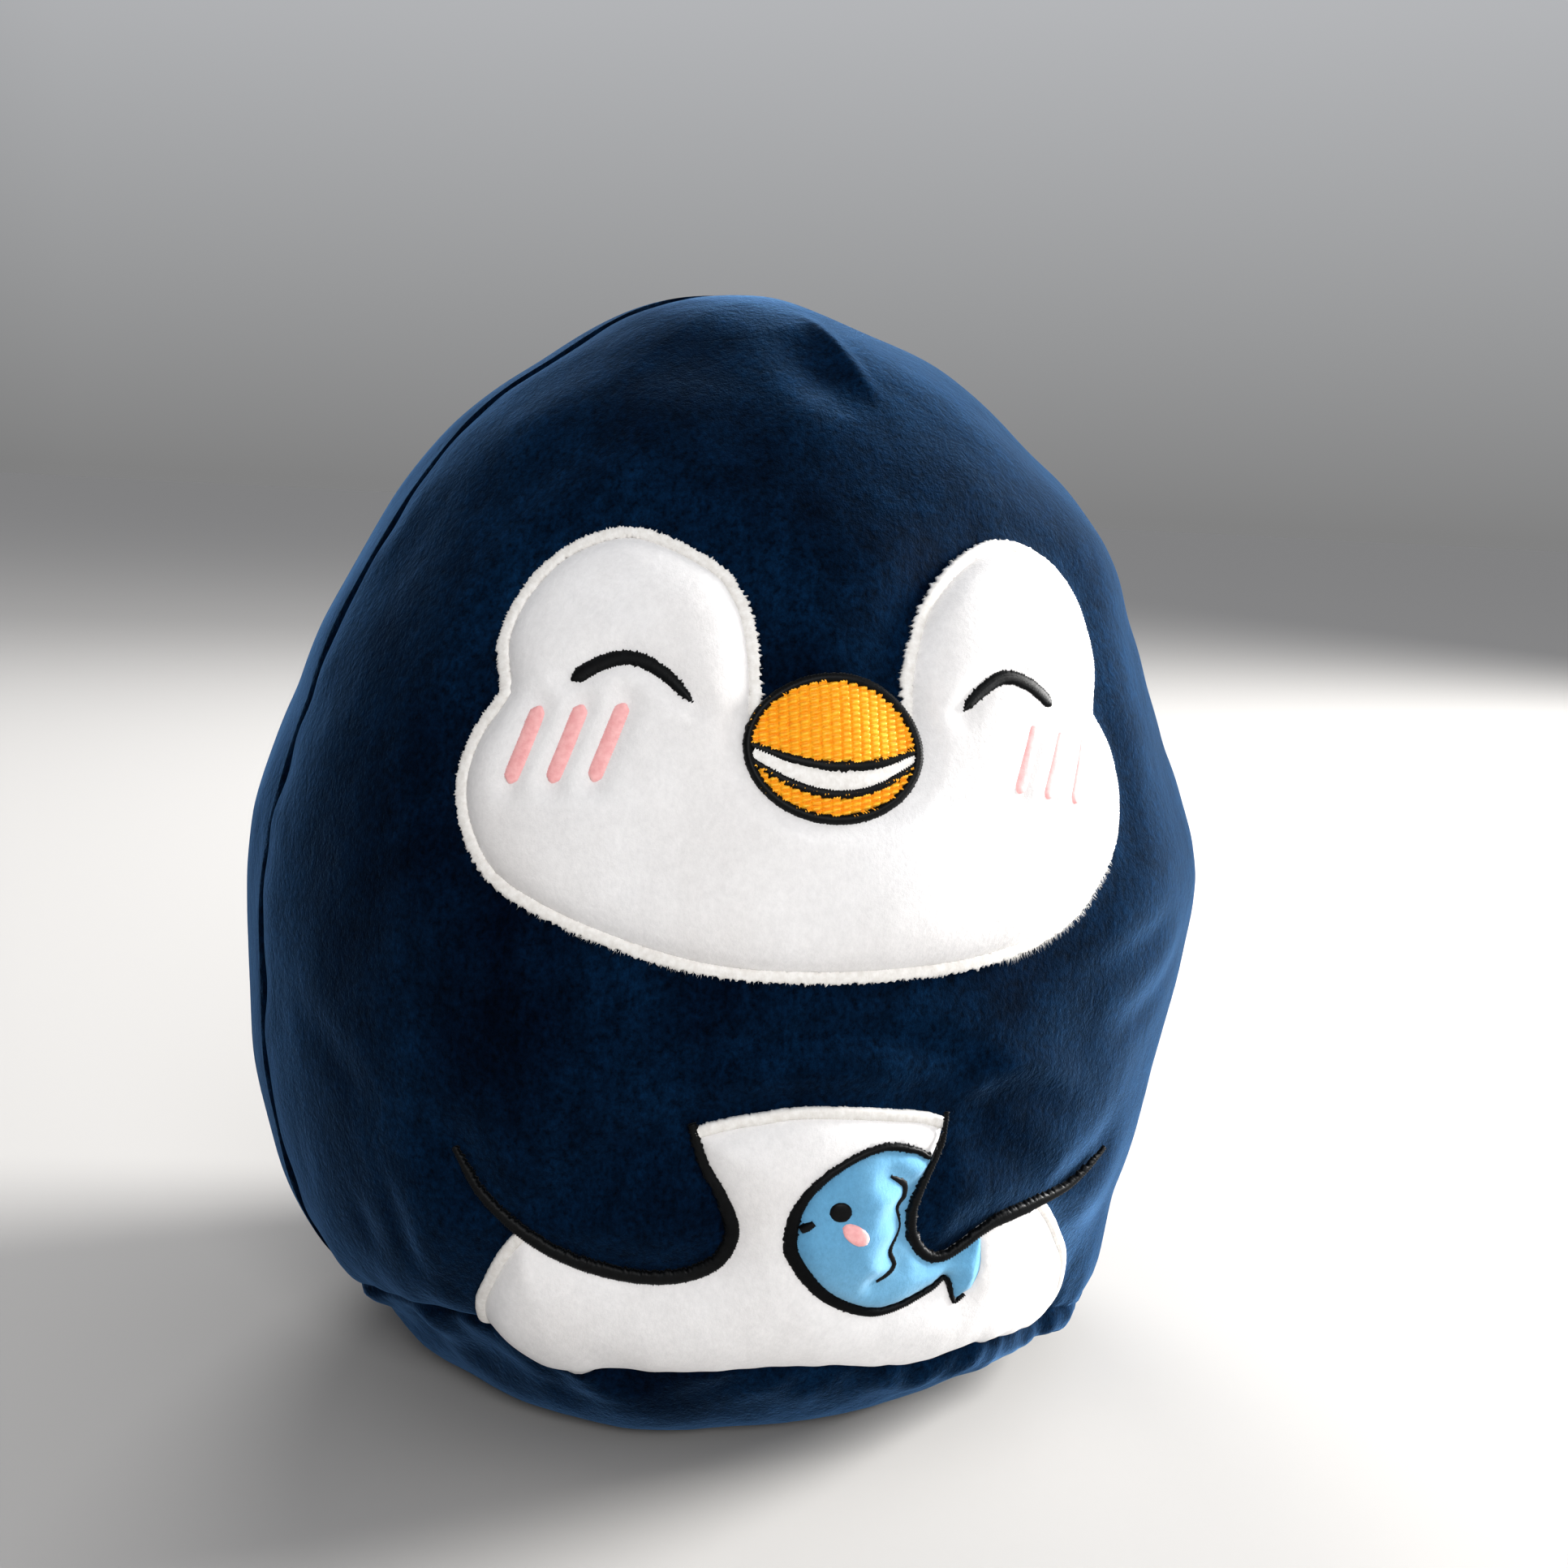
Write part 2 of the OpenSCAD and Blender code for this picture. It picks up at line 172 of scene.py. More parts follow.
GILL = [[14.9, 70.8], [18.2, 68.5], [18.8, 65.6], [17.4, 63.5], [18.9, 58.6], [16.7, 54.6], [18, 51],
        [14.4, 48.6]]
FISH_EYE = np.array([5.1, 65.1])
FISH_CHEEK = np.array([8.1, 60.9])
FISH_MOUTH = [[-1.8, 61.0], [-0.6, 61.9], [0.4, 62.7]]
EYES = {"right_eye": [[-45.6, 160.2], [-40, 163.8], [-34.9, 165], [-29.6, 162.8], [-24.2, 157.7]],
        "left_eye": [[46, 157.8], [40.6, 161.8], [35, 163.4], [29.8, 160.9], [26.2, 157.3]]}
UPPER_LIP = [[-15.6, 151.8], [-8.1, 149.2], [-3.6, 148.2], [1.1, 147.7], [8.6, 148.2], [17.6, 150.8]]
LOWER_LIP = [[-14.6, 148.7], [-8.2, 145.1], [-2.8, 143.3], [2.2, 142.9], [8.5, 144.1], [17, 148.4]]
BEAK_MIDDLE = np.array([1.2, 150.9])
BEAK_SIZE = np.array([34.2, 27])
BORDER_W = 2.5
FACE_BORDER_W = 2.8
BEAK_LINE_W = 2.0

face_edge = np.concatenate([curve(CHEEKS), curve(LEFT_LOBE)[1:], curve(RIGHT_LOBE)[:-1]])
belly_edge = curve(BELLY)
right_flipper_line = curve(RIGHT_FLIPPER)
left_flipper_line = curve(LEFT_FLIPPER)
fish_line = curve(FISH)
tail_line = curve(TAIL, 0.5)
tail_edge = curve(TAIL_EDGE)
gill_line = curve(GILL, 0.5)
turn = np.linspace(0, 2 * math.pi, 160)
beak_edge = BEAK_MIDDLE + np.stack([np.cos(turn), np.sin(turn)], 1) * (BEAK_SIZE / 2 - BEAK_LINE_W / 2)


def inside(points, polygon):
    """Which of the points lie in the polygon."""
    x, y = points[:, 0], points[:, 1]
    found = np.zeros(len(points), bool)
    for (ax, ay), (bx, by) in zip(polygon, np.roll(polygon, -1, 0)):
        crosses = (ay > y) != (by > y)
        found ^= crosses & (x < (bx - ax) * (y - ay) / ((by - ay) if by != ay else 1e-9) + ax)
    return found


def flipper_area(line, way):
    """Everything above and outside a flipper's line, as far as a box well past the belly."""
    side, top = way * 95, 100
    return np.concatenate([line, [[side, line[-1][1]], [side, top], [line[0][0], top]]])


right_flipper_area = flipper_area(right_flipper_line, -1)
left_flipper_area = flipper_area(left_flipper_line, 1)


def off_flippers(points):
    return ~inside(points, right_flipper_area) & ~inside(points, left_flipper_area)


# --- The relief of the stuffed skin ---

def line_points(run):
    return egg(*art_place(run))[0]


def tree_of(points):
    tree = KDTree(len(points))
    for i, p in enumerate(points):
        tree.insert(p, i)
    tree.balance()
    return tree


def distance_to(points, lines):
    """How far each point is from the nearest point of the lines, all in space."""
    tree = tree_of(np.concatenate(lines))
    return np.array([tree.find(p)[2] for p in points.reshape(-1, 3)]).reshape(points.shape[:-1])


def waves(points, size, count, seed):
    """A smooth random field between about -1 and 1: count waves, whose bumps are about size across."""
    pick = np.random.default_rng(seed)
    way = pick.normal(size=(count, 3))
    rate = (2 * math.pi / size) * pick.uniform(0.6, 1.3, (count, 1))
    way *= rate / np.linalg.norm(way, axis=1, keepdims=True)
    shift = pick.uniform(0, 2 * math.pi, count)
    total = np.zeros(points.shape[:-1])
    for k, s in zip(way, shift):
        total += np.sin(points @ k + s)
    return total / math.sqrt(count / 2) / 1.6


def bump(x, width):
    return np.exp(-(x / width) ** 2)


# Each fold: its run on the front, how far it rises or sinks, and its half width
FOLDS = [
    ([[6, 234], [9.5, 229], [13, 223.5], [16.5, 217.5]], 1.1, 2.1),
    ([[0, 231], [4, 225], [8, 219], [12, 213]], -1.9, 6.5),
    ([[-26, 226], [-12, 221], [0, 213]], -1.6, 15.0),
    ([[-32, 89], [-20, 94.5], [-2, 97.6], [14, 98], [28, 93], [41, 86]], -1.9, 3.0),
    ([[-22, 88], [0, 91.5], [22, 90]], 1.1, 4.5),
    ([[27, 84.5], [38, 89.5], [50, 88], [60, 83]], 1.4, 3.0),
    ([[30, 80], [42, 82.5], [56, 78]], -1.2, 3.4),
    ([[56, 106], [70, 108], [84, 113]], -0.9, 3.6),
    ([[60, 99], [74, 101], [87, 108]], 0.7, 4.2),
    ([[68, 91], [82, 95], [92, 103]], -0.8, 3.8),
    ([[-98, 92], [-88, 84], [-80, 72]], -0.7, 5.0),
    ([[-78, 60], [-74, 48], [-70, 38]], -0.9, 3.2),
    ([[-84, 52], [-80, 42]], -0.7, 3.0),
    ([[-64, 180], [-52, 196], [-38, 208]], -0.6, 8.0),
]
# How the fill has settled at both sides: angle, spread and [height, how far it stands out or in]
SIDES = [
    (-90, 40, [[12, 0], [35, -1.2], [52, -0.8], [70, 0], [94, 0.2], [110, 0.8], [124, 0.3], [136, -1.2],
               [151, -2.4], [165, -0.9], [180, -0.4], [194, 0.2], [209, 0.1], [224, -1.4], [236, 0.5]]),
    (66, 34, [[5, -3], [12, -2.2], [20, 3.4], [29, 2.8], [36, -2.0], [42, -4.3], [57, -3.4], [74, -3.0],
              [87, -1.3], [101, 0], [108, 1.0], [117, 2.2], [125, 1.8], [133, 0], [145, -1.9],
              [160, -1.9], [174, -0.4], [182, 1.8], [190, 3.2], [202, 1.6], [216, 0], [228, -0.6],
              [237, -2.6]]),
]
# How far the foot of the body leans to the left, at what height and over what spread
LEAN, LEAN_H, LEAN_SPREAD = 5.5, 15, 9


def folds(points):
    total = np.zeros(points.shape[:-1])
    flat = points.reshape(-1, 3)
    for run, height, width in FOLDS:
        line = resample(line_points(curve(run, 1.0)), 1.0)
        tree = tree_of(line)
        reach = len(line) / 2 + 3 * width + 8
        near = np.linalg.norm(flat - line.mean(0), axis=1) < reach
        add = np.zeros(len(flat))
        for i in np.nonzero(near)[0]:
            _, k, d = tree.find(flat[i])
            taper = math.sin(math.pi * (k + 1) / (len(line) + 1)) ** 0.7
            add[i] = height * taper * math.exp(-(d / width) ** 2)
        total += add.reshape(total.shape)
    return total


def smoothed(values, width):
    return np.convolve(values, np.hanning(width) / np.hanning(width).sum(), "same")


def turn_apart(phi, degrees):
    """How many degrees an angle in radians is from one in degrees."""
    return np.abs((np.degrees(phi) - degrees + 180) % 360 - 180)


def settled(phi, z):
    """How far the skin stands out or in where the fill has settled."""
    total = LEAN * np.sin(phi) * np.abs(np.sin(phi)) * bump(z - LEAN_H, LEAN_SPREAD)
    for middle, spread, table in SIDES:
        heights, out = np.array(table).T
        fine = np.arange(-10, 260, 1.0)
        soft = smoothed(np.interp(fine, heights, out), 11)
        total = total + np.interp(z, fine, soft) * bump(turn_apart(phi, middle), spread)
    return total


FIELD_PHI = np.linspace(-math.pi, math.pi, 541)
FIELD_V = np.linspace(0, POLE_V, 261)
FILL_OUT = 0.6
LINE_PULL, LINE_SPREAD = 2.0, 7.0
FAR = 99.0


def make_field():
    """Hollows along the stitched lines, the lumps of the fill and the folds of the cloth."""
    phi, v = np.meshgrid(FIELD_PHI, FIELD_V)
    points, _ = egg(phi, v)
    front = np.cos(phi) > -0.1
    near_lines = np.full(phi.shape, FAR)
    lines = [line_points(run) for run in (face_edge, belly_edge, right_flipper_line, left_flipper_line)]
    near_lines[front] = distance_to(points[front], lines)
    field = FILL_OUT - LINE_PULL * bump(near_lines, LINE_SPREAD)
    calm = 1 - 0.5 * bump(points[..., 2] - BODY_H, 25)
    field += calm * (0.7 * waves(points, 65, 10, 3) + 0.35 * waves(points, 28, 14, 5))
    field += folds(points) * (0.3 + 0.7 * (1 - bump(near_lines, 4.0)))
    return field + settled(phi, points[..., 2]) * (1 - bump(np.interp(v, RUN_V, RUN_R), 12))


FIELD = make_field()


def field_at(phi, v):
    """The relief at any place, read from the grid."""
    phi = (phi + math.pi) % (2 * math.pi) - math.pi
    a = (phi - FIELD_PHI[0]) / (FIELD_PHI[1] - FIELD_PHI[0])
    b = np.clip(v, 0, POLE_V) / (FIELD_V[1] - FIELD_V[0])
    i, j = np.clip(a.astype(int), 0, len(FIELD_PHI) - 2), np.clip(b.astype(int), 0, len(FIELD_V) - 2)
    fa, fb = a - i, b - j
    return ((1 - fb) * ((1 - fa) * FIELD[j, i] + fa * FIELD[j, i + 1])
            + fb * ((1 - fa) * FIELD[j + 1, i] + fa * FIELD[j + 1, i + 1]))


# Where the base seam rises and sinks, as [angle from the front, millimetres]
SEAM_RISE = [[-180, 0], [-100, -3], [-80, -5], [-65, -3.5], [-55, -0.5], [-49, 1.8], [-40, 2.2],
             [-36, 0.5], [-31, -6.0], [-25, -4.2], [-15, -3], [-6, -2], [2, -2.3], [12, -3.8],
             [20, -6.3], [25, -3.4], [30, -3.0], [36, -5.3], [45, -7.5], [60, -8], [72, -5], [90, -3],
             [180, 0]]


def seam_rise(phi):
    degrees, out = np.array(SEAM_RISE).T
    fine = np.arange(-200, 200, 1.0)
    soft = smoothed(np.interp((fine + 180) % 360 - 180, degrees, out), 9)
    return np.interp((np.degrees(phi) + 180) % 360 - 180, fine, soft)


def seam_relief(phi, v, points):
    """Grooves and puckers along the side seams and the base seam."""
    r = np.interp(v, RUN_V, RUN_R)
    off_side = (np.abs(phi) - SEAM_ANGLE) * r
    above = np.clip((v - SEAM_V) / 6, 0, 1)
    puckers = waves(points * [0.4, 0.4, 1], 9, 8, 21)
    side = -above * (0.5 * bump(off_side, 1.1) + 0.7 * bump(off_side, 6.0))
    side += above * 0.35 * puckers * np.exp(-np.abs(off_side) / 8)
    off_base = v - SEAM_V
    turned = np.stack([points[..., 0], points[..., 1], 0 * v], -1)
    gathers = waves(turned, 15, 9, 33) + 0.5 * waves(turned, 8, 8, 35)
    base = -1.1 * bump(off_base, 1.4) - 1.1 * bump(off_base, 6.0)
    reach = np.where(off_base < 0, 15.0, 7.0)
    strength = np.where(off_base < 0, 1.0, 0.55)
    base += strength * gathers * np.exp(-np.abs(off_base) / reach) * np.clip(v / 12, 0, 1)
    return side + base


def skin(phi, v, h):
    """Points on the stuffed skin, h above it."""
    phi, v = np.broadcast_arrays(np.asarray(phi, float), np.asarray(v, float))
    r = np.interp(v, RUN_V, RUN_R)
    plain = np.stack([r * np.sin(phi), -r * np.cos(phi), np.interp(v, RUN_V, RUN_Z)], -1)
    lift = field_at(phi, v) + seam_relief(phi, v, plain)
    sway = 0.9 * waves(plain, 26, 7, 41) * bump((np.abs(phi) - SEAM_ANGLE) * r, 9)
    points, normals = egg(phi + sway / np.maximum(r, 20), v + seam_rise(phi) * bump(v - SEAM_V, 13))
    return points + normals * (lift * np.clip(v / 14, 0, 1) + h)[..., None]


def on_skin(p, h=0.0):
    phi, v = art_place(p)
    return skin(phi, v, h)


def normal_on(p):
    return egg(*art_place(p))[1]


# --- Making pieces ---

def piece(name, points, faces, slot, nodes):
    """A named mesh on the one body, made of the slot's material, that stands for the CAD nodes."""
    mesh = bpy.data.meshes.new(name)
    mesh.from_pydata((np.asarray(points) * MM).tolist(), [], [list(map(int, f)) for f in faces])
    mesh.validate()
    mesh.polygons.foreach_set("use_smooth", [True] * len(mesh.polygons))
    obj = bpy.data.objects.new(name, mesh)
    bpy.context.scene.collection.objects.link(obj)
    mesh.materials.append(MATERIALS[slot])
    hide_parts(*nodes)
    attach(obj, "root")
    return obj


def closed(top, bottom, faces):
    """A solid between two copies of a surface, with walls round its open edges."""
    n = len(top)
    faces = np.asarray(faces)
    sides = np.concatenate([np.stack([faces[:, i], faces[:, (i + 1) % faces.shape[1]]], 1)
                            for i in range(faces.shape[1])])
    key = np.sort(sides, 1)
    _, first, uses = np.unique(key, axis=0, return_index=True, return_counts=True)
    rim = sides[first[uses == 1]]
    walls = [[a, a + n, b + n, b] for a, b in rim]
    return np.concatenate([top, bottom]), [*faces.tolist(), *(faces[:, ::-1] + n).tolist(), *walls]


def grid_faces(rows, columns, around=False):
    j, i = np.meshgrid(np.arange(rows - 1), np.arange(columns if around else columns - 1), indexing="ij")
    right = (i + 1) % columns
    return np.stack([j * columns + i, j * columns + right, (j + 1) * columns + right,
                     (j + 1) * columns + i], -1).reshape(-1, 4)


def triangulate(outlines, spacing, keep):
    """Even triangles over the area that keep() accepts, with clean edges along the outlines."""
    points = np.concatenate(outlines)
    edges, start = [], 0
    for run in outlines:
        edges += [(start + i, start + i + 1) for i in range(len(run) - 1)]
        start += len(run)
    low, high = points.min(0), points.max(0)
    rows = np.arange(low[1], high[1], spacing * 0.87)
    mesh = np.array([[x + (k % 2) * spacing / 2, y] for k, y in enumerate(rows)
                     for x in np.arange(low[0], high[0], spacing)])
    tree = tree_of(np.c_[points, np.zeros(len(points))])
    free = np.array([tree.find((*p, 0))[2] > spacing * 0.55 for p in mesh])
    given = [Vector(p) for p in np.concatenate([points, mesh[free]])]
    found, _, faces, *_ = delaunay_2d_cdt(given, edges, [], 0, 1e-4)
    found = np.array([list(p) for p in found])
    faces = np.array([f for f in faces if len(f) == 3])
    middle = found[faces].mean(1)
    faces = faces[keep(middle)]
    used, place = np.unique(faces, return_inverse=True)
    return found[used], place.reshape(faces.shape)


def depth_from(points, lines):
    """Distance on the drawing from each point to the nearest of the lines."""
    flat = [np.c_[run, np.zeros(len(run))] for run in lines]
    return distance_to(np.c_[points, np.zeros(len(points))], flat)


# --- Materials ---

# The sockets of a Mix node that multiplies colours, and of a Map Range node that works on vectors
MIX_FACTOR, MIX_A, MIX_B, MIX_RESULT = 0, 6, 7, 2
FROM_LOW, FROM_HIGH, TO_LOW, TO_HIGH = 7, 8, 9, 10


def multiplied(tree, a, b):
    node = tree.nodes.new("ShaderNodeMix")
    node.data_type, node.blend_type = "RGBA", "MULTIPLY"
    node.inputs[MIX_FACTOR].default_value = 1.0
    tree.links.new(a, node.inputs[MIX_A])
    tree.links.new(b, node.inputs[MIX_B])
    return node.outputs[MIX_RESULT]


class Nodes:
    """A small help for building a shader."""

    def __init__(self, name):
        self.material = bpy.data.materials.new(name)
        self.material.use_nodes = True
        self.tree = self.material.node_tree
        self.shader = self.tree.nodes["Principled BSDF"]
        self.place = self.add("ShaderNodeTexCoord").outputs["Object"]

    def add(self, kind, **inputs):
        node = self.tree.nodes.new(kind)
        for name, value in inputs.items():
            self.set(node, name.replace("_", " "), value)
        return node

    def set(self, node, name, value):
        socket = node.inputs[name]
        if isinstance(value, bpy.types.NodeSocket):
            self.tree.links.new(value, socket)
        else:
            socket.default_value = value

    def noise(self, scale, detail, stretch=(1, 1, 1), roughness=0.5):
        mapping = self.add("ShaderNodeMapping", Vector=self.place, Scale=stretch)
        return self.add("ShaderNodeTexNoise", Vector=mapping.outputs[0], Scale=scale, Detail=detail,
                        Roughness=roughness).outputs[0]

    def ramp(self, factor, low, high, dark, light):
        node = self.add("ShaderNodeValToRGB", Fac=factor)
        node.color_ramp.elements[0].position, node.color_ramp.elements[1].position = low, high
        node.color_ramp.elements[0].color, node.color_ramp.elements[1].color = (*dark, 1), (*light, 1)
        return node.outputs[0]

    def bump(self, height, strength, distance, before=None):
        node = self.add("ShaderNodeBump", Height=height, Strength=strength, Distance=distance)
        if before is not None:
            self.tree.links.new(before, node.inputs["Normal"])
        return node.outputs[0]

    def finish(self, **values):
        for name, value in values.items():
            self.set(self.shader, name.replace("_", " "), value)
        return self.material


def plush(name, dark, light, nap, sheen, sheen_tint, sheen_roughness, painted_gap_shade):
    """Short dense pile: brushed patches, mottling, fine tufts and a soft glow where it is seen edge on.

    nap scales the relief of the pile, and the last argument is the painted shade: how far the colour is
    darkened in the low places of the pile, between its lumps and tufts."""
    n = Nodes(name)
    brushed = n.noise(32, 3, (1, 1, 0.6), 0.55)
    mottle = n.noise(190, 3, (1, 1, 0.8), 0.6)
    tufts = n.noise(820, 4, (1, 1, 0.8), 0.75)
    colour = n.ramp(brushed, 0.3, 0.72, dark, light)
    # Painted shade: the colour is darkened where the mottling and the tufts sink, so the low places
    # between the pile's lumps and tufts look shaded
    colour = multiplied(n.tree, colour, n.ramp(mottle, 0.3, 0.7, (1 - 0.6 * painted_gap_shade,) * 3, (1, 1, 1)))
    colour = multiplied(n.tree, colour, n.ramp(tufts, 0.32, 0.68, (1 - painted_gap_shade,) * 3, (1, 1, 1)))
    normal = n.bump(brushed, 0.5, 0.0030 * nap)
    normal = n.bump(mottle, 0.3, 0.0004 * nap, normal)
    normal = n.bump(tufts, 1.0, 0.00028 * nap, normal)
    return n.finish(Base_Color=colour, Roughness=0.9, Sheen_Weight=sheen, Sheen_Tint=(*sheen_tint, 1),
                    Sheen_Roughness=sheen_roughness, Specular_IOR_Level=0.03, Normal=normal)


def thread(name, dark, light, roughness, sheen=0.2, specular=0.5):
    """Embroidery thread: fine fibres and small changes of shade from stitch to stitch."""
    n = Nodes(name)
    fibres = n.noise(2600, 2)
    stitches = n.noise(900, 2)
    colour = n.ramp(stitches, 0.3, 0.7, dark, light)
    normal = n.bump(fibres, 0.35, 0.00012)
    return n.finish(Base_Color=colour, Roughness=roughness, Sheen_Weight=sheen, Sheen_Roughness=0.4,
                    Specular_IOR_Level=specular, Normal=normal)


def flat_cloth(name, colour, scale):
    """Plain non-woven sheet or loose fibre."""
    n = Nodes(name)
    fibres = n.noise(scale, 4)
    shade = n.ramp(fibres, 0.3, 0.7, tuple(c * 0.85 for c in colour), colour)
    return n.finish(Base_Color=shade, Roughness=0.9, Normal=n.bump(fibres, 0.5, 0.0005))


# The last number of each plush is its painted shade in the low places of the pile
LOOKS = {
    "navy_plush": (plush, (0.0009, 0.0080, 0.026), (0.005, 0.035, 0.092), 1.0, 0.42, (0.26, 0.54, 1),
                   0.36, 0.8),
    "white_plush": (plush, (0.80, 0.78, 0.77), (0.88, 0.87, 0.87), 0.5, 0.2, (1, 1, 1), 0.5, 0.08),
    "blue_plush": (plush, (0.11, 0.33, 0.55), (0.22, 0.48, 0.70), 0.5, 0.3, (0.75, 0.9, 1), 0.5, 0.15),
    "white_thread": (thread, (0.76, 0.73, 0.69), (0.88, 0.86, 0.83), 0.5),
    "black_thread": (thread, (0.0008, 0.001, 0.0014), (0.003, 0.004, 0.005), 0.5, 0.03, 0.22),
    "pink_thread": (thread, (0.86, 0.40, 0.40), (0.95, 0.52, 0.51), 0.5),
    "orange_thread": (thread, (0.95, 0.38, 0.008), (1.0, 0.54, 0.03), 0.4),
    "navy_thread": (thread, (0.008, 0.016, 0.04), (0.02, 0.035, 0.08), 0.6),
    "fibre_fill": (flat_cloth, (0.85, 0.85, 0.83), 400),
    "stabiliser": (flat_cloth, (0.82, 0.82, 0.80), 900),
}
MATERIALS = {name: make(name, *values) for name, (make, *values) in LOOKS.items()}


# --- The body panels ---

BESIDE_SEAM = (0, 0.5, 1.1, 1.9, 3.0, 4.4)


def fine_steps(low, high, step, seams):
    """Values from low to high, with closer ones beside each seam that the range meets."""
    extra = [s + way * f for s in seams for f in BESIDE_SEAM for way in (1, -1)]
    extra = sorted({round(e, 4) for e in extra if low - 1e-6 <= e <= high + 1e-6} | {low, high})
    plain = [x for x in np.linspace(low, high, round((high - low) / step) + 1)
             if min(abs(x - e) for e in extra) > 0.6 * step]
    return np.array(sorted(plain + extra))


def angles(low, high, step):
    seams = [a * HALF_W for a in (-SEAM_ANGLE, SEAM_ANGLE, 2 * math.pi - SEAM_ANGLE)]
    return fine_steps(low * HALF_W, high * HALF_W, step, seams) / HALF_W


CROWN_GAP = 1.2


def wall_panel(name, low, high, node, step):
    """A panel from the base seam to the crown, between two angles, closed at the crown by a fan."""
    phi = angles(low, high, step)
    v = fine_steps(SEAM_V, POLE_V - CROWN_GAP, step, [SEAM_V])
    p, q = np.meshgrid(phi, v)
    rows, columns = p.shape
    sides = []
    for h in (0, -SKIN_T):
        points = skin(p, q, h).reshape(-1, 3)
        sides.append(np.concatenate([points, [points[-columns:].mean(0) + [0, 0, 0.05]]]))
    top = rows * columns
    last = top - columns
    crown = [[last + i, last + i + 1, top] for i in range(columns - 1)]
    shell = grid_faces(rows, columns).tolist() + crown
    n = top + 1
    back = [[k + n for k in f[::-1]] for f in shell]
    edge = [j * columns for j in range(rows - 1, -1, -1)] + list(range(1, columns))
    edge += [j * columns + columns - 1 for j in range(1, rows)] + [top]
    walls = [[b + n, a + n, a, b] for a, b in zip(edge, edge[1:] + edge[:1])]
    return piece(name, np.concatenate(sides), shell + back + walls, "navy_plush", [node])


FOOT_RINGS = (0.03, 0.25, 0.5, 0.75)


def base_panel(name, node, step):
    """The base: a turned-under side below the seam and a flat foot."""
    phi = angles(-math.pi, math.pi, step)[:-1]
    v = fine_steps(0, SEAM_V, step, [SEAM_V])
    p, q = np.meshgrid(phi, v)
    n = len(phi)
    sides = []
    for h in (0, -SKIN_T):
        wall = skin(p, q, h)
        foot = [wall[0] * [s, s, 1] for s in FOOT_RINGS]
        sides.append(np.concatenate([*foot, wall.reshape(-1, 3)]))
    rows = len(v) + len(FOOT_RINGS)
    shell = grid_faces(rows, n, around=True).tolist() + [list(range(n - 1, -1, -1))]
    count = rows * n
    back = [[k + count for k in f[::-1]] for f in shell]
    rim = [[(rows - 1) * n + i, (rows - 1) * n + (i + 1) % n] for i in range(n)]
    walls = [[a, b, b + count, a + count] for a, b in rim]
    return piece(name, np.concatenate(sides), shell + back + walls, "navy_plush", [node])


wall_panel("front_panel_plush", -SEAM_ANGLE, SEAM_ANGLE, "front_panel", 1.7)
wall_panel("back_panel_plush", SEAM_ANGLE, 2 * math.pi - SEAM_ANGLE, "back_panel", 2.2)
base_panel("base_panel_plush", "base_panel", 2.0)


# --- Satin stitching ---

# A stitch seen end on, as (share of the half width, share of the height)
PROFILE = [(-1.0, -0.7), (-0.94, 0.25), (-0.72, 0.72), (-0.38, 0.94), (0, 1.0), (0.38, 0.94),
           (0.72, 0.72), (0.94, 0.25), (1.0, -0.7)]
STITCH = 0.5
LONG_SHARE, MISSED_SHARE = 0.06, 0.10
FULL_HALF_W = 0.9  # the half width from which a band has its full height
END_HALF_W, END_H = 0.09, 0.16


def slid(values, on, loop):
    """The rows of values, each read a little further along."""
    at = np.arange(len(values)) + on
    if loop:
        at, values = at + len(values), np.concatenate([values] * 3)
    return np.stack([np.interp(at, np.arange(len(values)), values[:, i]) for i in range(3)], 1)


def loose_ends(centre, out, normals, count, length, start):
    """Fine thread ends that stand out from the side of a band."""
    points, faces = [], []
    for k in chance.integers(1, len(centre) - 1, count):
        along = centre[k + 1] - centre[k - 1]
        along /= np.linalg.norm(along)
        way = out[k] + along * chance.normal(0, 0.5) + normals[k] * chance.uniform(-0.1, 0.35)
        tip = centre[k] + way / np.linalg.norm(way) * length * chance.uniform(0.4, 1.2)
        root = centre[k] - out[k] * 0.4
        n = start + len(faces)
        points += [root - along * END_HALF_W, root + along * END_HALF_W, root + normals[k] * END_H, tip]
        faces += [[n, n + 1, n + 2], [n, n + 3, n + 1], [n + 1, n + 3, n + 2], [n + 2, n + 3, n]]
    return np.array(points), faces


def uneven_ends(rows, stray):
    """How far the stitches end past one side of a band."""
    slip = chance.normal(0, stray, rows)
    return slip + (chance.random(rows) < LONG_SHARE) * chance.uniform(0, 3 * stray, rows)


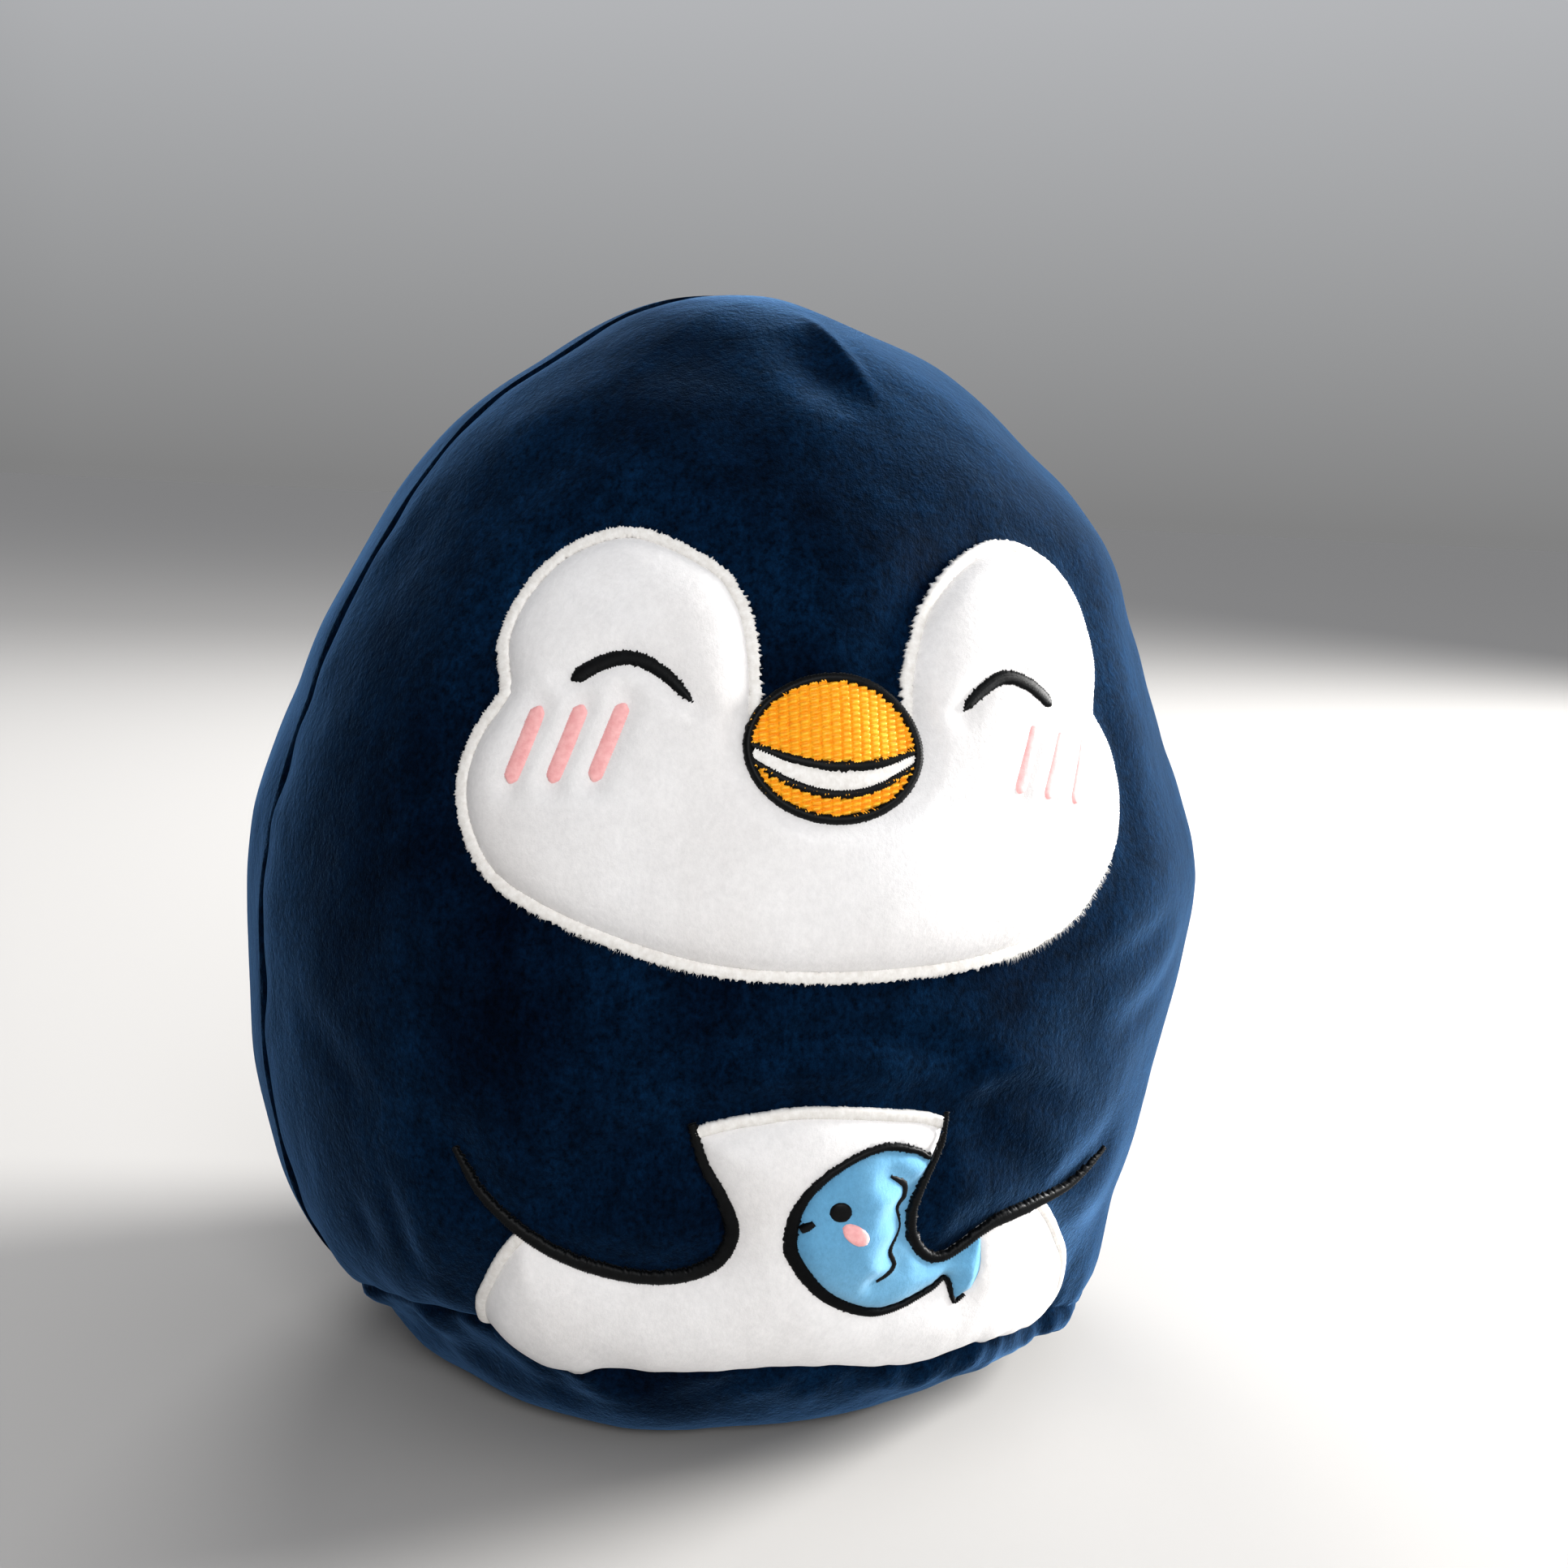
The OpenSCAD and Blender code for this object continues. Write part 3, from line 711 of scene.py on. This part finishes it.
def satin(name, run, widths, height, slot, node, base, loop=False, stray=0.10, ridge=0.2, pitch=STITCH,
          slant=0.0, frayed=False, ends=()):
    """A band of satin stitches across a run that is drawn on the front. Each stitch is a raised ridge.

    base is the height of what it is sewn on, stray how unevenly the stitches end, ridge how deep the
    grooves between them are, and slant how many rows their ends are apart. The right side of a frayed
    band is more uneven. Each of ends is the stretch of that side, as shares of the run, that has loose
    thread ends, then their count and their length."""
    run = np.asarray(run, float)
    path = resample(np.concatenate([run, run[:1]]) if loop else run, 0.5)
    lift = base(path) if callable(base) else np.full(len(path), float(base))
    normals = normal_on(path)
    centre = on_skin(path) + normals * lift[:, None]
    length = np.concatenate([[0], np.cumsum(np.linalg.norm(np.diff(centre, axis=0), axis=1))])
    rows = 2 * round(length[-1] / pitch) + (0 if loop else 1)
    at = np.linspace(0, length[-1], rows, endpoint=not loop)
    centre = np.stack([np.interp(at, length, centre[:, i]) for i in range(3)], 1)
    normals = np.stack([np.interp(at, length, normals[:, i]) for i in range(3)], 1)
    normals /= np.linalg.norm(normals, axis=1, keepdims=True)
    along = np.roll(centre, -1, 0) - np.roll(centre, 1, 0) if loop else np.gradient(centre, axis=0)
    across = np.cross(along, normals)
    across /= np.linalg.norm(across, axis=1, keepdims=True)
    wide = np.interp(at / length[-1], np.linspace(0, 1, len(widths)), widths) / 2
    peak = np.arange(rows) % 2 == 0
    slips = [uneven_ends(rows, stray) for _ in ("left", "right")]
    if frayed:
        gaps = (chance.random(rows) < MISSED_SHARE) * chance.uniform(0.5, 1.3, rows)
        gaps = np.maximum(gaps, 0.7 * np.roll(gaps, 1))
        slips[1] -= gaps + np.where(peak, 0, np.abs(chance.normal(0, 0.3, rows)))
    full = height * np.minimum(1, wide / FULL_HALF_W)
    groove = ridge * height * np.where(peak, 0.5, -0.5)
    points = []
    for u, h in PROFILE:
        slip = -slips[0] if u < 0 else slips[1]
        reach = u * wide + slip * abs(u) ** 6
        rise = full * h + groove * (h > 0)
        where = slid(centre, slant * u, loop) if slant else centre
        points.append(where + across * reach[:, None] + normals * rise[:, None])
    points = np.stack(points, 1).reshape(-1, 3)
    columns = len(PROFILE)
    faces = grid_faces(rows, columns).tolist()
    last = (rows - 1) * columns
    if loop:
        faces += [[last + i, last + i + 1, i + 1, i] for i in range(columns - 1)]
    for j in range(rows if loop else rows - 1):
        here, after = j * columns, (j + 1) % rows * columns
        faces.append([here + columns - 1, here, after, after + columns - 1])
    if not loop:
        faces += [list(range(columns))[::-1], [last + i for i in range(columns)]]
    for first, last, count, long in ends:
        some = slice(int(first * rows), int(last * rows))
        rim = centre + across * wide[:, None] + normals * 0.2
        more, tips = loose_ends(rim[some], across[some], normals[some], count, long, len(points))
        points, faces = np.concatenate([points, more]), faces + tips
    return piece(name, points, faces, slot, [node])


def rounded(widths, share):
    """Widths with both ends rounded off over a share of the length."""
    t = np.linspace(0, 1, 13)
    body = np.interp(t, np.linspace(0, 1, len(widths)), widths)
    end = np.minimum(np.minimum(t, 1 - t) / share, 1)
    return body * np.sqrt(1 - (1 - end) ** 2).clip(0.06)


# --- The face ---

PATCH_RISE, PATCH_PUFF = 1.7, 1.8
HOLLOW = 0.45


def bars():
    """The blush bars: their names and their runs, from a top end, the way to the next and a lean."""
    sides = {"right": [[-51.2, 154.1], [7.2, 0.8], [4.4, 11.1]],
             "left": [[41.3, 153.4], [6.9, -1.35], [3.2, 9.7]]}
    found = {}
    for side, values in sides.items():
        start, step, lean = np.array(values)
        for i in range(3):
            top = start + i * step
            ends = np.array([top + 0.15 * lean, top - 1.15 * lean])
            found[f"{side}_blush_{i + 1}"] = resample(ends, 0.6)
    return found


eye_runs = {name: curve(run) for name, run in EYES.items()}
bar_runs = bars()
face_stitches = [*eye_runs.values(), *bar_runs.values()]


def puffed(points, edges, stitches, rise, puff, spread=2.6):
    """Height of a padded patch: low at its edges and round what is stitched on it."""
    d = depth_from(points, edges)
    h = 0.1 + (rise - 0.1) * (1 - np.exp(-(d / 1.7) ** 1.4)) + puff * (1 - np.exp(-d / 9))
    if stitches:
        h -= HOLLOW * (h - 0.3) * bump(depth_from(points, stitches), spread)
    return h


def beak_share(points):
    """How far out each point lies on the beak, from 0 in its middle to 1 at its edge."""
    return np.linalg.norm((points - BEAK_MIDDLE) / (BEAK_SIZE / 2), axis=-1)


def face_height(points):
    """The face: puffed between its stitched edge and eyes, and pressed down round the beak."""
    h = puffed(points, [face_inner], face_stitches, PATCH_RISE, PATCH_PUFF)
    near_beak = np.clip((1.25 - beak_share(points)) / 0.4, 0, 1)
    return h * (1 - 0.6 * near_beak)


face_inner = inset(face_edge, 2.2)
face_band = inset(face_edge, FACE_BORDER_W / 2)


def patch(name, outlines, keep, height, slot, node, spacing, under=-0.8):
    """A padded patch over the area that keep() accepts, with its top at height() over the skin."""
    points, faces = triangulate(outlines, spacing, keep)
    top, bottom = on_skin(points, height(points)), on_skin(points, under)
    flat = np.cross(top[faces[:, 1]] - top[faces[:, 0]], top[faces[:, 2]] - top[faces[:, 0]])
    if (flat * normal_on(points)[faces[:, 0]]).sum() < 0:
        faces = faces[:, ::-1]
    return piece(name, *closed(top, bottom, faces), slot, [node])


def loop_of(run):
    return np.concatenate([run, run[:1]])


patch("face_patch_plush", [loop_of(face_inner)], lambda p: inside(p, face_inner), face_height,
      "white_plush", "face_patch", 1.1)
satin("face_border_satin", face_band, [FACE_BORDER_W], 0.7, "white_thread", "face_border", 0.3,
      loop=True, stray=0.2, ridge=0.34, pitch=0.6, frayed=True,
      ends=[(0, 1, 150, 0.35), (0.10, 0.20, 60, 0.7), (0.325, 0.41, 240, 1.3)])


def face_top(points):
    return face_height(points) - 0.3


for name, run in eye_runs.items():
    satin(name + "_satin", run, rounded([3.8, 3.7, 3.5, 3.0, 1.5], 0.09), 1.1, "black_thread", name,
          face_top, stray=0.3, ridge=0.3, pitch=0.55)
for name, run in bar_runs.items():
    satin(name + "_satin", run, rounded([4.1, 4.1], 0.15), 0.9, "pink_thread", name, face_top,
          stray=0.08, ridge=0.16)


# --- The beak ---

COLUMN_W = 1.87
ROW_H = 1.05
BEAK_RISE = 1.7
BEAK_ROWS, BEAK_COLUMNS = 120, 201
upper_lip, lower_lip = curve(UPPER_LIP, 0.4), curve(LOWER_LIP, 0.4)


def tatami(x, z):
    """Short stitches laid nearly level in upright columns."""
    column = np.floor(x / COLUMN_W)
    across = ((x / COLUMN_W) % 1 - 0.5) * 2
    shift = 0.5 * (column % 2)
    up = np.abs(((z - 0.14 * across) / ROW_H + shift + 0.06 * np.sin(7 * column)) % 1 - 0.5) * 2
    return 0.8 * (1 - up ** 2) * (1 - 0.35 * across ** 4) - 0.5 * np.abs(across) ** 7


def beak_top(points):
    return BEAK_RISE + 1 - beak_share(points) ** 2


def beak_part(name, low, high, node):
    """Stitched filling between two heights that change along the beak."""
    x = BEAK_MIDDLE[0] + np.linspace(-16, 16, BEAK_COLUMNS)
    share = np.linspace(0, 1, BEAK_ROWS)[:, None]
    z = low(x) + (high(x) - low(x)) * share
    points = np.stack([np.broadcast_to(x, z.shape), z], -1)
    top = on_skin(points, beak_top(points) + tatami(points[..., 0], z)).reshape(-1, 3)
    bottom = on_skin(points, 0.3).reshape(-1, 3)
    faces = grid_faces(BEAK_ROWS, BEAK_COLUMNS)
    return piece(name, *closed(top, bottom, faces), "orange_thread", [node])


def beak_half(x):
    """Half the height of the stitched filling, along the beak."""
    across = (x - BEAK_MIDDLE[0]) / (BEAK_SIZE[0] / 2 - 0.3)
    return (BEAK_SIZE[1] / 2 - 0.6) * np.sqrt(np.clip(1 - across ** 2, 0, 1))


def upper_lip_at(x):
    return np.interp(x, upper_lip[:, 0], upper_lip[:, 1])


def lower_lip_at(x):
    return np.interp(x, lower_lip[:, 0], lower_lip[:, 1])


beak_part("beak_upper_stitches", upper_lip_at,
          lambda x: np.maximum(BEAK_MIDDLE[1] + beak_half(x), upper_lip_at(x) + 0.2), "beak_upper")
beak_part("beak_lower_stitches",
          lambda x: np.minimum(BEAK_MIDDLE[1] - beak_half(x), lower_lip_at(x) - 0.2), lower_lip_at,
          "beak_lower")
mouth_x = BEAK_MIDDLE[0] + np.linspace(-15.3, 15.3, 90)
mouth_run = np.stack([mouth_x, (upper_lip_at(mouth_x) + lower_lip_at(mouth_x)) / 2], 1)
satin("mouth_band_satin", mouth_run, upper_lip_at(mouth_x) - lower_lip_at(mouth_x), 0.6, "white_thread",
      "mouth_band", beak_top, stray=0.12, ridge=0.35, pitch=0.6)
for name, node, run, rise in (("upper_lip_satin", "upper_lip_line", upper_lip, 0.25),
                              ("lower_lip_satin", "lower_lip_line", lower_lip, 0.15)):
    satin(name, run, [1.3, 1.8, 1.9, 1.8, 1.3], 0.7, "black_thread", node, lambda p: beak_top(p) + rise,
          stray=0.16, ridge=0.4, pitch=0.55)
satin("beak_outline_satin", beak_edge[:-1], [2.3, 2.2, 2.1, 1.9, 1.9, 2.0, 2.1, 2.2, 2.3], 1.3,
      "black_thread", "beak_outline", BEAK_RISE - 0.1, loop=True, stray=0.08, ridge=0.3, pitch=0.6,
      slant=1.4)


# --- The belly, the flippers and the fish ---

fish_area = np.concatenate([fish_line, tail_line[1:], tail_edge[1:], UNDER_FLIPPER])
belly_cut = belly_edge[belly_edge[:, 1] > SEAM_H + 0.3]
belly_cut = np.concatenate([[[belly_cut[0][0], SEAM_H]], belly_cut, [[belly_cut[-1][0], SEAM_H]]])
belly_side = inset(belly_cut, -BORDER_W * 0.7, closed=False)
belly_side[0][1] = belly_side[-1][1] = SEAM_H
bottom_x = np.linspace(belly_side[-1][0], belly_side[0][0], 100)[1:-1]
belly_area = np.concatenate([belly_side, np.c_[bottom_x, np.full(len(bottom_x), SEAM_H)]])
mouth_line = curve(FISH_MOUTH, 0.2)
flipper_lines = [right_flipper_line, left_flipper_line]


def belly_height(points):
    """The belly: puffed, low under the fish, and drawn down at the base seam."""
    h = puffed(points, [belly_side, *flipper_lines], [fish_line, tail_line], 1.5, 1.4, 3.4)
    h = np.where(inside(points, fish_area), np.minimum(h, 0.1), h)
    off_seam = np.clip((points[:, 1] - SEAM_H) / 10, 0, 1) ** 0.5
    return 0.7 + (h - 0.7) * off_seam


patch("belly_patch_plush", [loop_of(belly_area), *flipper_lines],
      lambda p: inside(p, belly_area) & off_flippers(p), belly_height, "white_plush", "belly_patch", 1.1)
TOP_BORDER_H = 76
band = inset(belly_cut, -BORDER_W / 2, closed=False)
band = band[off_flippers(band)]
high, side_x = band[:, 1] > TOP_BORDER_H, band[:, 0]
for side, stretch in (("top", high), ("right", ~high & (side_x < 0)), ("left", ~high & (side_x > 0))):
    satin(f"belly_{side}_satin", band[stretch], [BORDER_W], 0.8, "white_thread", f"belly_{side}_border",
          0.3, stray=0.07, ridge=0.34, pitch=0.6)

satin("right_flipper_satin", right_flipper_line,
      [1.55, 2.17, 2.945, 3.1, 3.1, 3.1, 2.945, 2.635, 2.17, 1.24], 0.8, "black_thread",
      "right_flipper_outline", 0.6, stray=0.2, ridge=0.35)
satin("left_flipper_satin", left_flipper_line,
      [0.8, 1.2, 1.7, 2.1, 2.3, 2.0, 2.2, 2.9, 2.7, 2.0, 1.6, 1.0], 0.8, "black_thread",
      "left_flipper_outline", 1.5, stray=0.2, ridge=0.4, pitch=0.6)


def fish_height(points):
    """The fish: puffed, thin at its tail, and pulled in along its gill, eye and mouth."""
    h = puffed(points, [fish_line, tail_line, left_flipper_line], [], 1.9, 2.4)
    fade = np.clip((points[:, 1] - 38) / 6, 0, 1)
    thin = depth_from(points, [tail_edge])
    h = np.minimum(h, 1.3 + thin * 0.6)
    g = depth_from(points, [gill_line])
    e = np.linalg.norm(points - FISH_EYE, axis=1)
    m = depth_from(points, [mouth_line])
    h -= fade * (1.9 * bump(g, 3.2) + 1.3 * bump(e, 4.2) + 0.7 * bump(m, 2.5))
    return np.maximum(h, 0.3) + 0.5


def fish_top(points):
    return fish_height(points) - 0.1


patch("fish_plush", [loop_of(fish_area), left_flipper_line],
      lambda p: inside(p, fish_area) & ~inside(p, left_flipper_area), fish_height, "blue_plush",
      "fish_body", 0.9, under=0.3)
SWELL = [1.2, 1.4, 1.5, 1.8, 2.3, 2.9, 3.0, 2.8, 2.3, 1.8, 1.4, 0.9]
for i, (run, widths) in enumerate([(fish_line, SWELL), (tail_line, [1.0, 1.1, 0.9, 0.6])]):
    satin(f"fish_outline_satin_{i}", run, widths, 1.0, "black_thread", "fish_outline", 1.3,
          stray=0.15, ridge=0.35)
satin("fish_gill_satin", gill_line, [0.7, 1.5, 1.5, 0.9, 0.7, 0.9, 1.2, 1.3, 0.9], 0.7, "black_thread",
      "fish_gill_line", fish_top)
satin("fish_mouth_satin", mouth_line, [1.9, 1.7, 1.2], 0.9, "black_thread", "fish_mouth", fish_top)


def button(name, middle, size, slot, node, slant=0.0, height=0.8):
    """A small filled oval of level stitches on the fish."""
    rows, columns = 14, 12
    a = np.linspace(-0.97, 0.97, rows)[:, None]
    b = np.linspace(-1, 1, columns)[None, :] * np.sqrt(1 - a ** 2)
    a = np.broadcast_to(a, b.shape)
    c, s = math.cos(slant), math.sin(slant)
    x, y = b * size[0], a * size[1]
    points = (middle + np.stack([c * x - s * y, s * x + c * y], -1)).reshape(-1, 2)
    dome = (np.clip(1 - a ** 2 - b ** 2, 0, 1) ** 0.5 * height).reshape(-1)
    dome += 0.12 * np.repeat(np.arange(rows) % 2, columns) * (dome > 0)
    base = fish_top(points)
    top, bottom = on_skin(points, base + dome), on_skin(points, base - 0.8)
    return piece(name, *closed(top, bottom, grid_faces(rows, columns)), slot, [node])


button("fish_eye_satin", FISH_EYE, [2.1, 1.9], "black_thread", "fish_eye")
button("fish_cheek_satin", FISH_CHEEK, [3.0, 1.7], "pink_thread", "fish_cheek", -0.6, 0.6)


# --- Hidden pieces and sewing threads ---

THREAD_SIDES = 6
NOT_ALONG_A_SEAM = [0.31, 0.22, 0.92]
SEAM_THREAD_R, CLOSING_THREAD_R = 0.25, 0.3
INNER = -SKIN_T - 0.5
BACKING_GAP, BACKING_T = 0.3, 0.6
FILL_GAP = 5.0


def tubes(name, runs, radius, node):
    """Round sewing threads along runs of points in space."""
    points, faces, start = [], [], 0
    for run in runs:
        run = np.asarray(run, float)
        along = np.gradient(run, axis=0)
        along /= np.linalg.norm(along, axis=1, keepdims=True)
        side = np.cross(along, NOT_ALONG_A_SEAM)
        side /= np.linalg.norm(side, axis=1, keepdims=True)
        up = np.cross(along, side)
        a = (np.arange(THREAD_SIDES) * 2 * math.pi / THREAD_SIDES)[:, None]
        ring = run[:, None] + radius * (np.cos(a) * side[:, None] + np.sin(a) * up[:, None])
        n = len(run)
        points.append(ring.reshape(-1, 3))
        faces += (grid_faces(n, THREAD_SIDES, around=True) + start).tolist()
        ends = np.arange(THREAD_SIDES) + start
        faces += [ends[::-1].tolist(), (ends + (n - 1) * THREAD_SIDES).tolist()]
        start += THREAD_SIDES * n
    return piece(name, np.concatenate(points), faces, "navy_thread", [node])


side_v = np.arange(SEAM_V + 1, POLE_V - 3, 2.0)
tubes("side_seam_stitching", [skin(way * SEAM_ANGLE, side_v, INNER) for way in (1, -1)],
      SEAM_THREAD_R, "side_seam_thread")
tubes("base_seam_stitching", [skin(np.linspace(-math.pi, math.pi, 240), SEAM_V, INNER)],
      SEAM_THREAD_R, "base_seam_thread")
tubes("crown_dart_stitching", [on_skin(curve([[10, 230], [14, 224], [17, 217]], 1.5), INNER)],
      SEAM_THREAD_R, "crown_dart_thread")
# Seven slanting stitches, 6 mm apart, that dip into the cloth at both ends
reach = np.linspace(-1, 1, 9)
ladder = [skin(math.pi + (k - 3) * 6 / (HALF_W * 0.85) + reach * 0.012, SEAM_V + 2.6 * reach,
               0.55 - 1.2 * reach ** 4) for k in range(7)]
tubes("closing_stitches_thread", ladder, CLOSING_THREAD_R, "closing_stitches")


def behind(name, area, node):
    """A thin sheet inside the front panel."""
    points, faces = triangulate([loop_of(area)], 3.0, lambda p: inside(p, area))
    gap = SKIN_T + BACKING_GAP
    top, bottom = on_skin(points, -gap), on_skin(points, -gap - BACKING_T)
    return piece(name, *closed(top, bottom, faces), "stabiliser", [node])


behind("face_backing_sheet", resample(loop_of(face_edge), 2.5)[:-1], "face_backing")
belly_top = belly_cut[belly_cut[:, 1] > SEAM_H + 6]
belly_foot = [[62, SEAM_H + 4], [-54, SEAM_H + 4]]
belly_back = resample(loop_of(np.concatenate([belly_top, belly_foot])), 2.5)[:-1]
behind("belly_backing_sheet", belly_back, "belly_backing")


def make_stuffing():
    """The block of fill, a little smaller than the inside of the panels."""
    phi = np.linspace(-math.pi, math.pi, 90)[:-1]
    v = np.linspace(6, POLE_V - 3, 64)
    p, q = np.meshgrid(phi, v)
    points, normals = egg(p, q)
    r = np.interp(q, RUN_V, RUN_R)
    seam = 1.3 * bump((np.abs(p) - SEAM_ANGLE) * r, 8) + 1.8 * bump(q - SEAM_V, 9)
    inner = points + normals * (field_at(p, q) - seam - FILL_GAP)[..., None]
    n = len(phi)
    faces = grid_faces(len(v), n, around=True).tolist() + [list(range(n - 1, -1, -1))]
    faces.append([(len(v) - 1) * n + i for i in range(n)])
    return piece("stuffing_fibre", inner.reshape(-1, 3), faces, "fibre_fill", ["stuffing"])


make_stuffing()


# --- Floor, light and camera, in metres ---

FLOOR_SIZE = 60
LOOK_AT = Vector((0, 0, 0.12))
CAMERA_PLACE = (-0.082, -0.405, 0.196)

bpy.ops.mesh.primitive_plane_add(size=FLOOR_SIZE, location=(0, 0, 0))
floor = bpy.context.object
floor.name = "floor"
floor.data.materials.append(Nodes("pale_floor").finish(Base_Color=(0.43, 0.42, 0.41, 1), Roughness=0.9))


def area_light(name, place, size, power, colour=(1, 1, 1)):
    light = bpy.data.lights.new(name, "AREA")
    light.shape, light.size, light.energy, light.color = "DISK", size, power, colour
    obj = bpy.data.objects.new(name, light)
    bpy.context.scene.collection.objects.link(obj)
    obj.location = place
    obj.rotation_euler = (LOOK_AT - Vector(place)).to_track_quat("-Z", "Y").to_euler()


area_light("key", (2.0, 0.3, 0.8), 0.9, 125, (1.0, 0.99, 0.97))
area_light("front", (0.1, -2.8, 1.5), 1.5, 42)
area_light("back", (0.0, 1.1, 1.1), 0.7, 8.5)
world = bpy.data.worlds.new("world")
bpy.context.scene.world = world
world.use_nodes = True
sky = world.node_tree
axes = sky.nodes.new("ShaderNodeSeparateXYZ")
sky.links.new(sky.nodes.new("ShaderNodeTexCoord").outputs["Generated"], axes.inputs[0])


def sky_ramp(axis, low, high):
    """A colour that changes along an axis. low and high are each a place on it and the colour there."""
    spread = sky.nodes.new("ShaderNodeCombineXYZ")
    for socket in spread.inputs:
        sky.links.new(axes.outputs[axis], socket)
    ramp = sky.nodes.new("ShaderNodeMapRange")
    ramp.data_type = "FLOAT_VECTOR"
    sky.links.new(spread.outputs[0], ramp.inputs["Vector"])
    for (place, colour), from_socket, to_socket in ((low, FROM_LOW, TO_LOW), (high, FROM_HIGH, TO_HIGH)):
        ramp.inputs[from_socket].default_value = [place] * 3
        ramp.inputs[to_socket].default_value = colour
    return ramp.outputs["Vector"]


# Paler with height above the horizon, and darker on the side away from the key light
rising = sky_ramp("Z", (0.0, (0.215, 0.215, 0.215)), (0.4, (0.52, 0.53, 0.55)))
shaded = sky_ramp("X", (-0.7, (0.55, 0.55, 0.55)), (-0.15, (1.0, 1.0, 1.0)))
sky.links.new(multiplied(sky, rising, shaded), sky.nodes["Background"].inputs["Color"])
bpy.context.scene.view_settings.view_transform = "Standard"
bpy.context.scene.view_settings.look = "Medium High Contrast"

camera = bpy.data.objects.new("camera", bpy.data.cameras.new("camera"))
bpy.context.scene.collection.objects.link(camera)
camera.data.lens, camera.data.sensor_width = 41, 36
pitch, yaw, roll = np.radians([81.0, -13.18, 3])
turned = Euler((pitch, 0, yaw)).to_matrix() @ Matrix.Rotation(roll, 3, "Z")
camera.matrix_world = Matrix.Translation(CAMERA_PLACE) @ turned.to_4x4()
bpy.context.scene.camera = camera

bpy.context.view_layer.update()
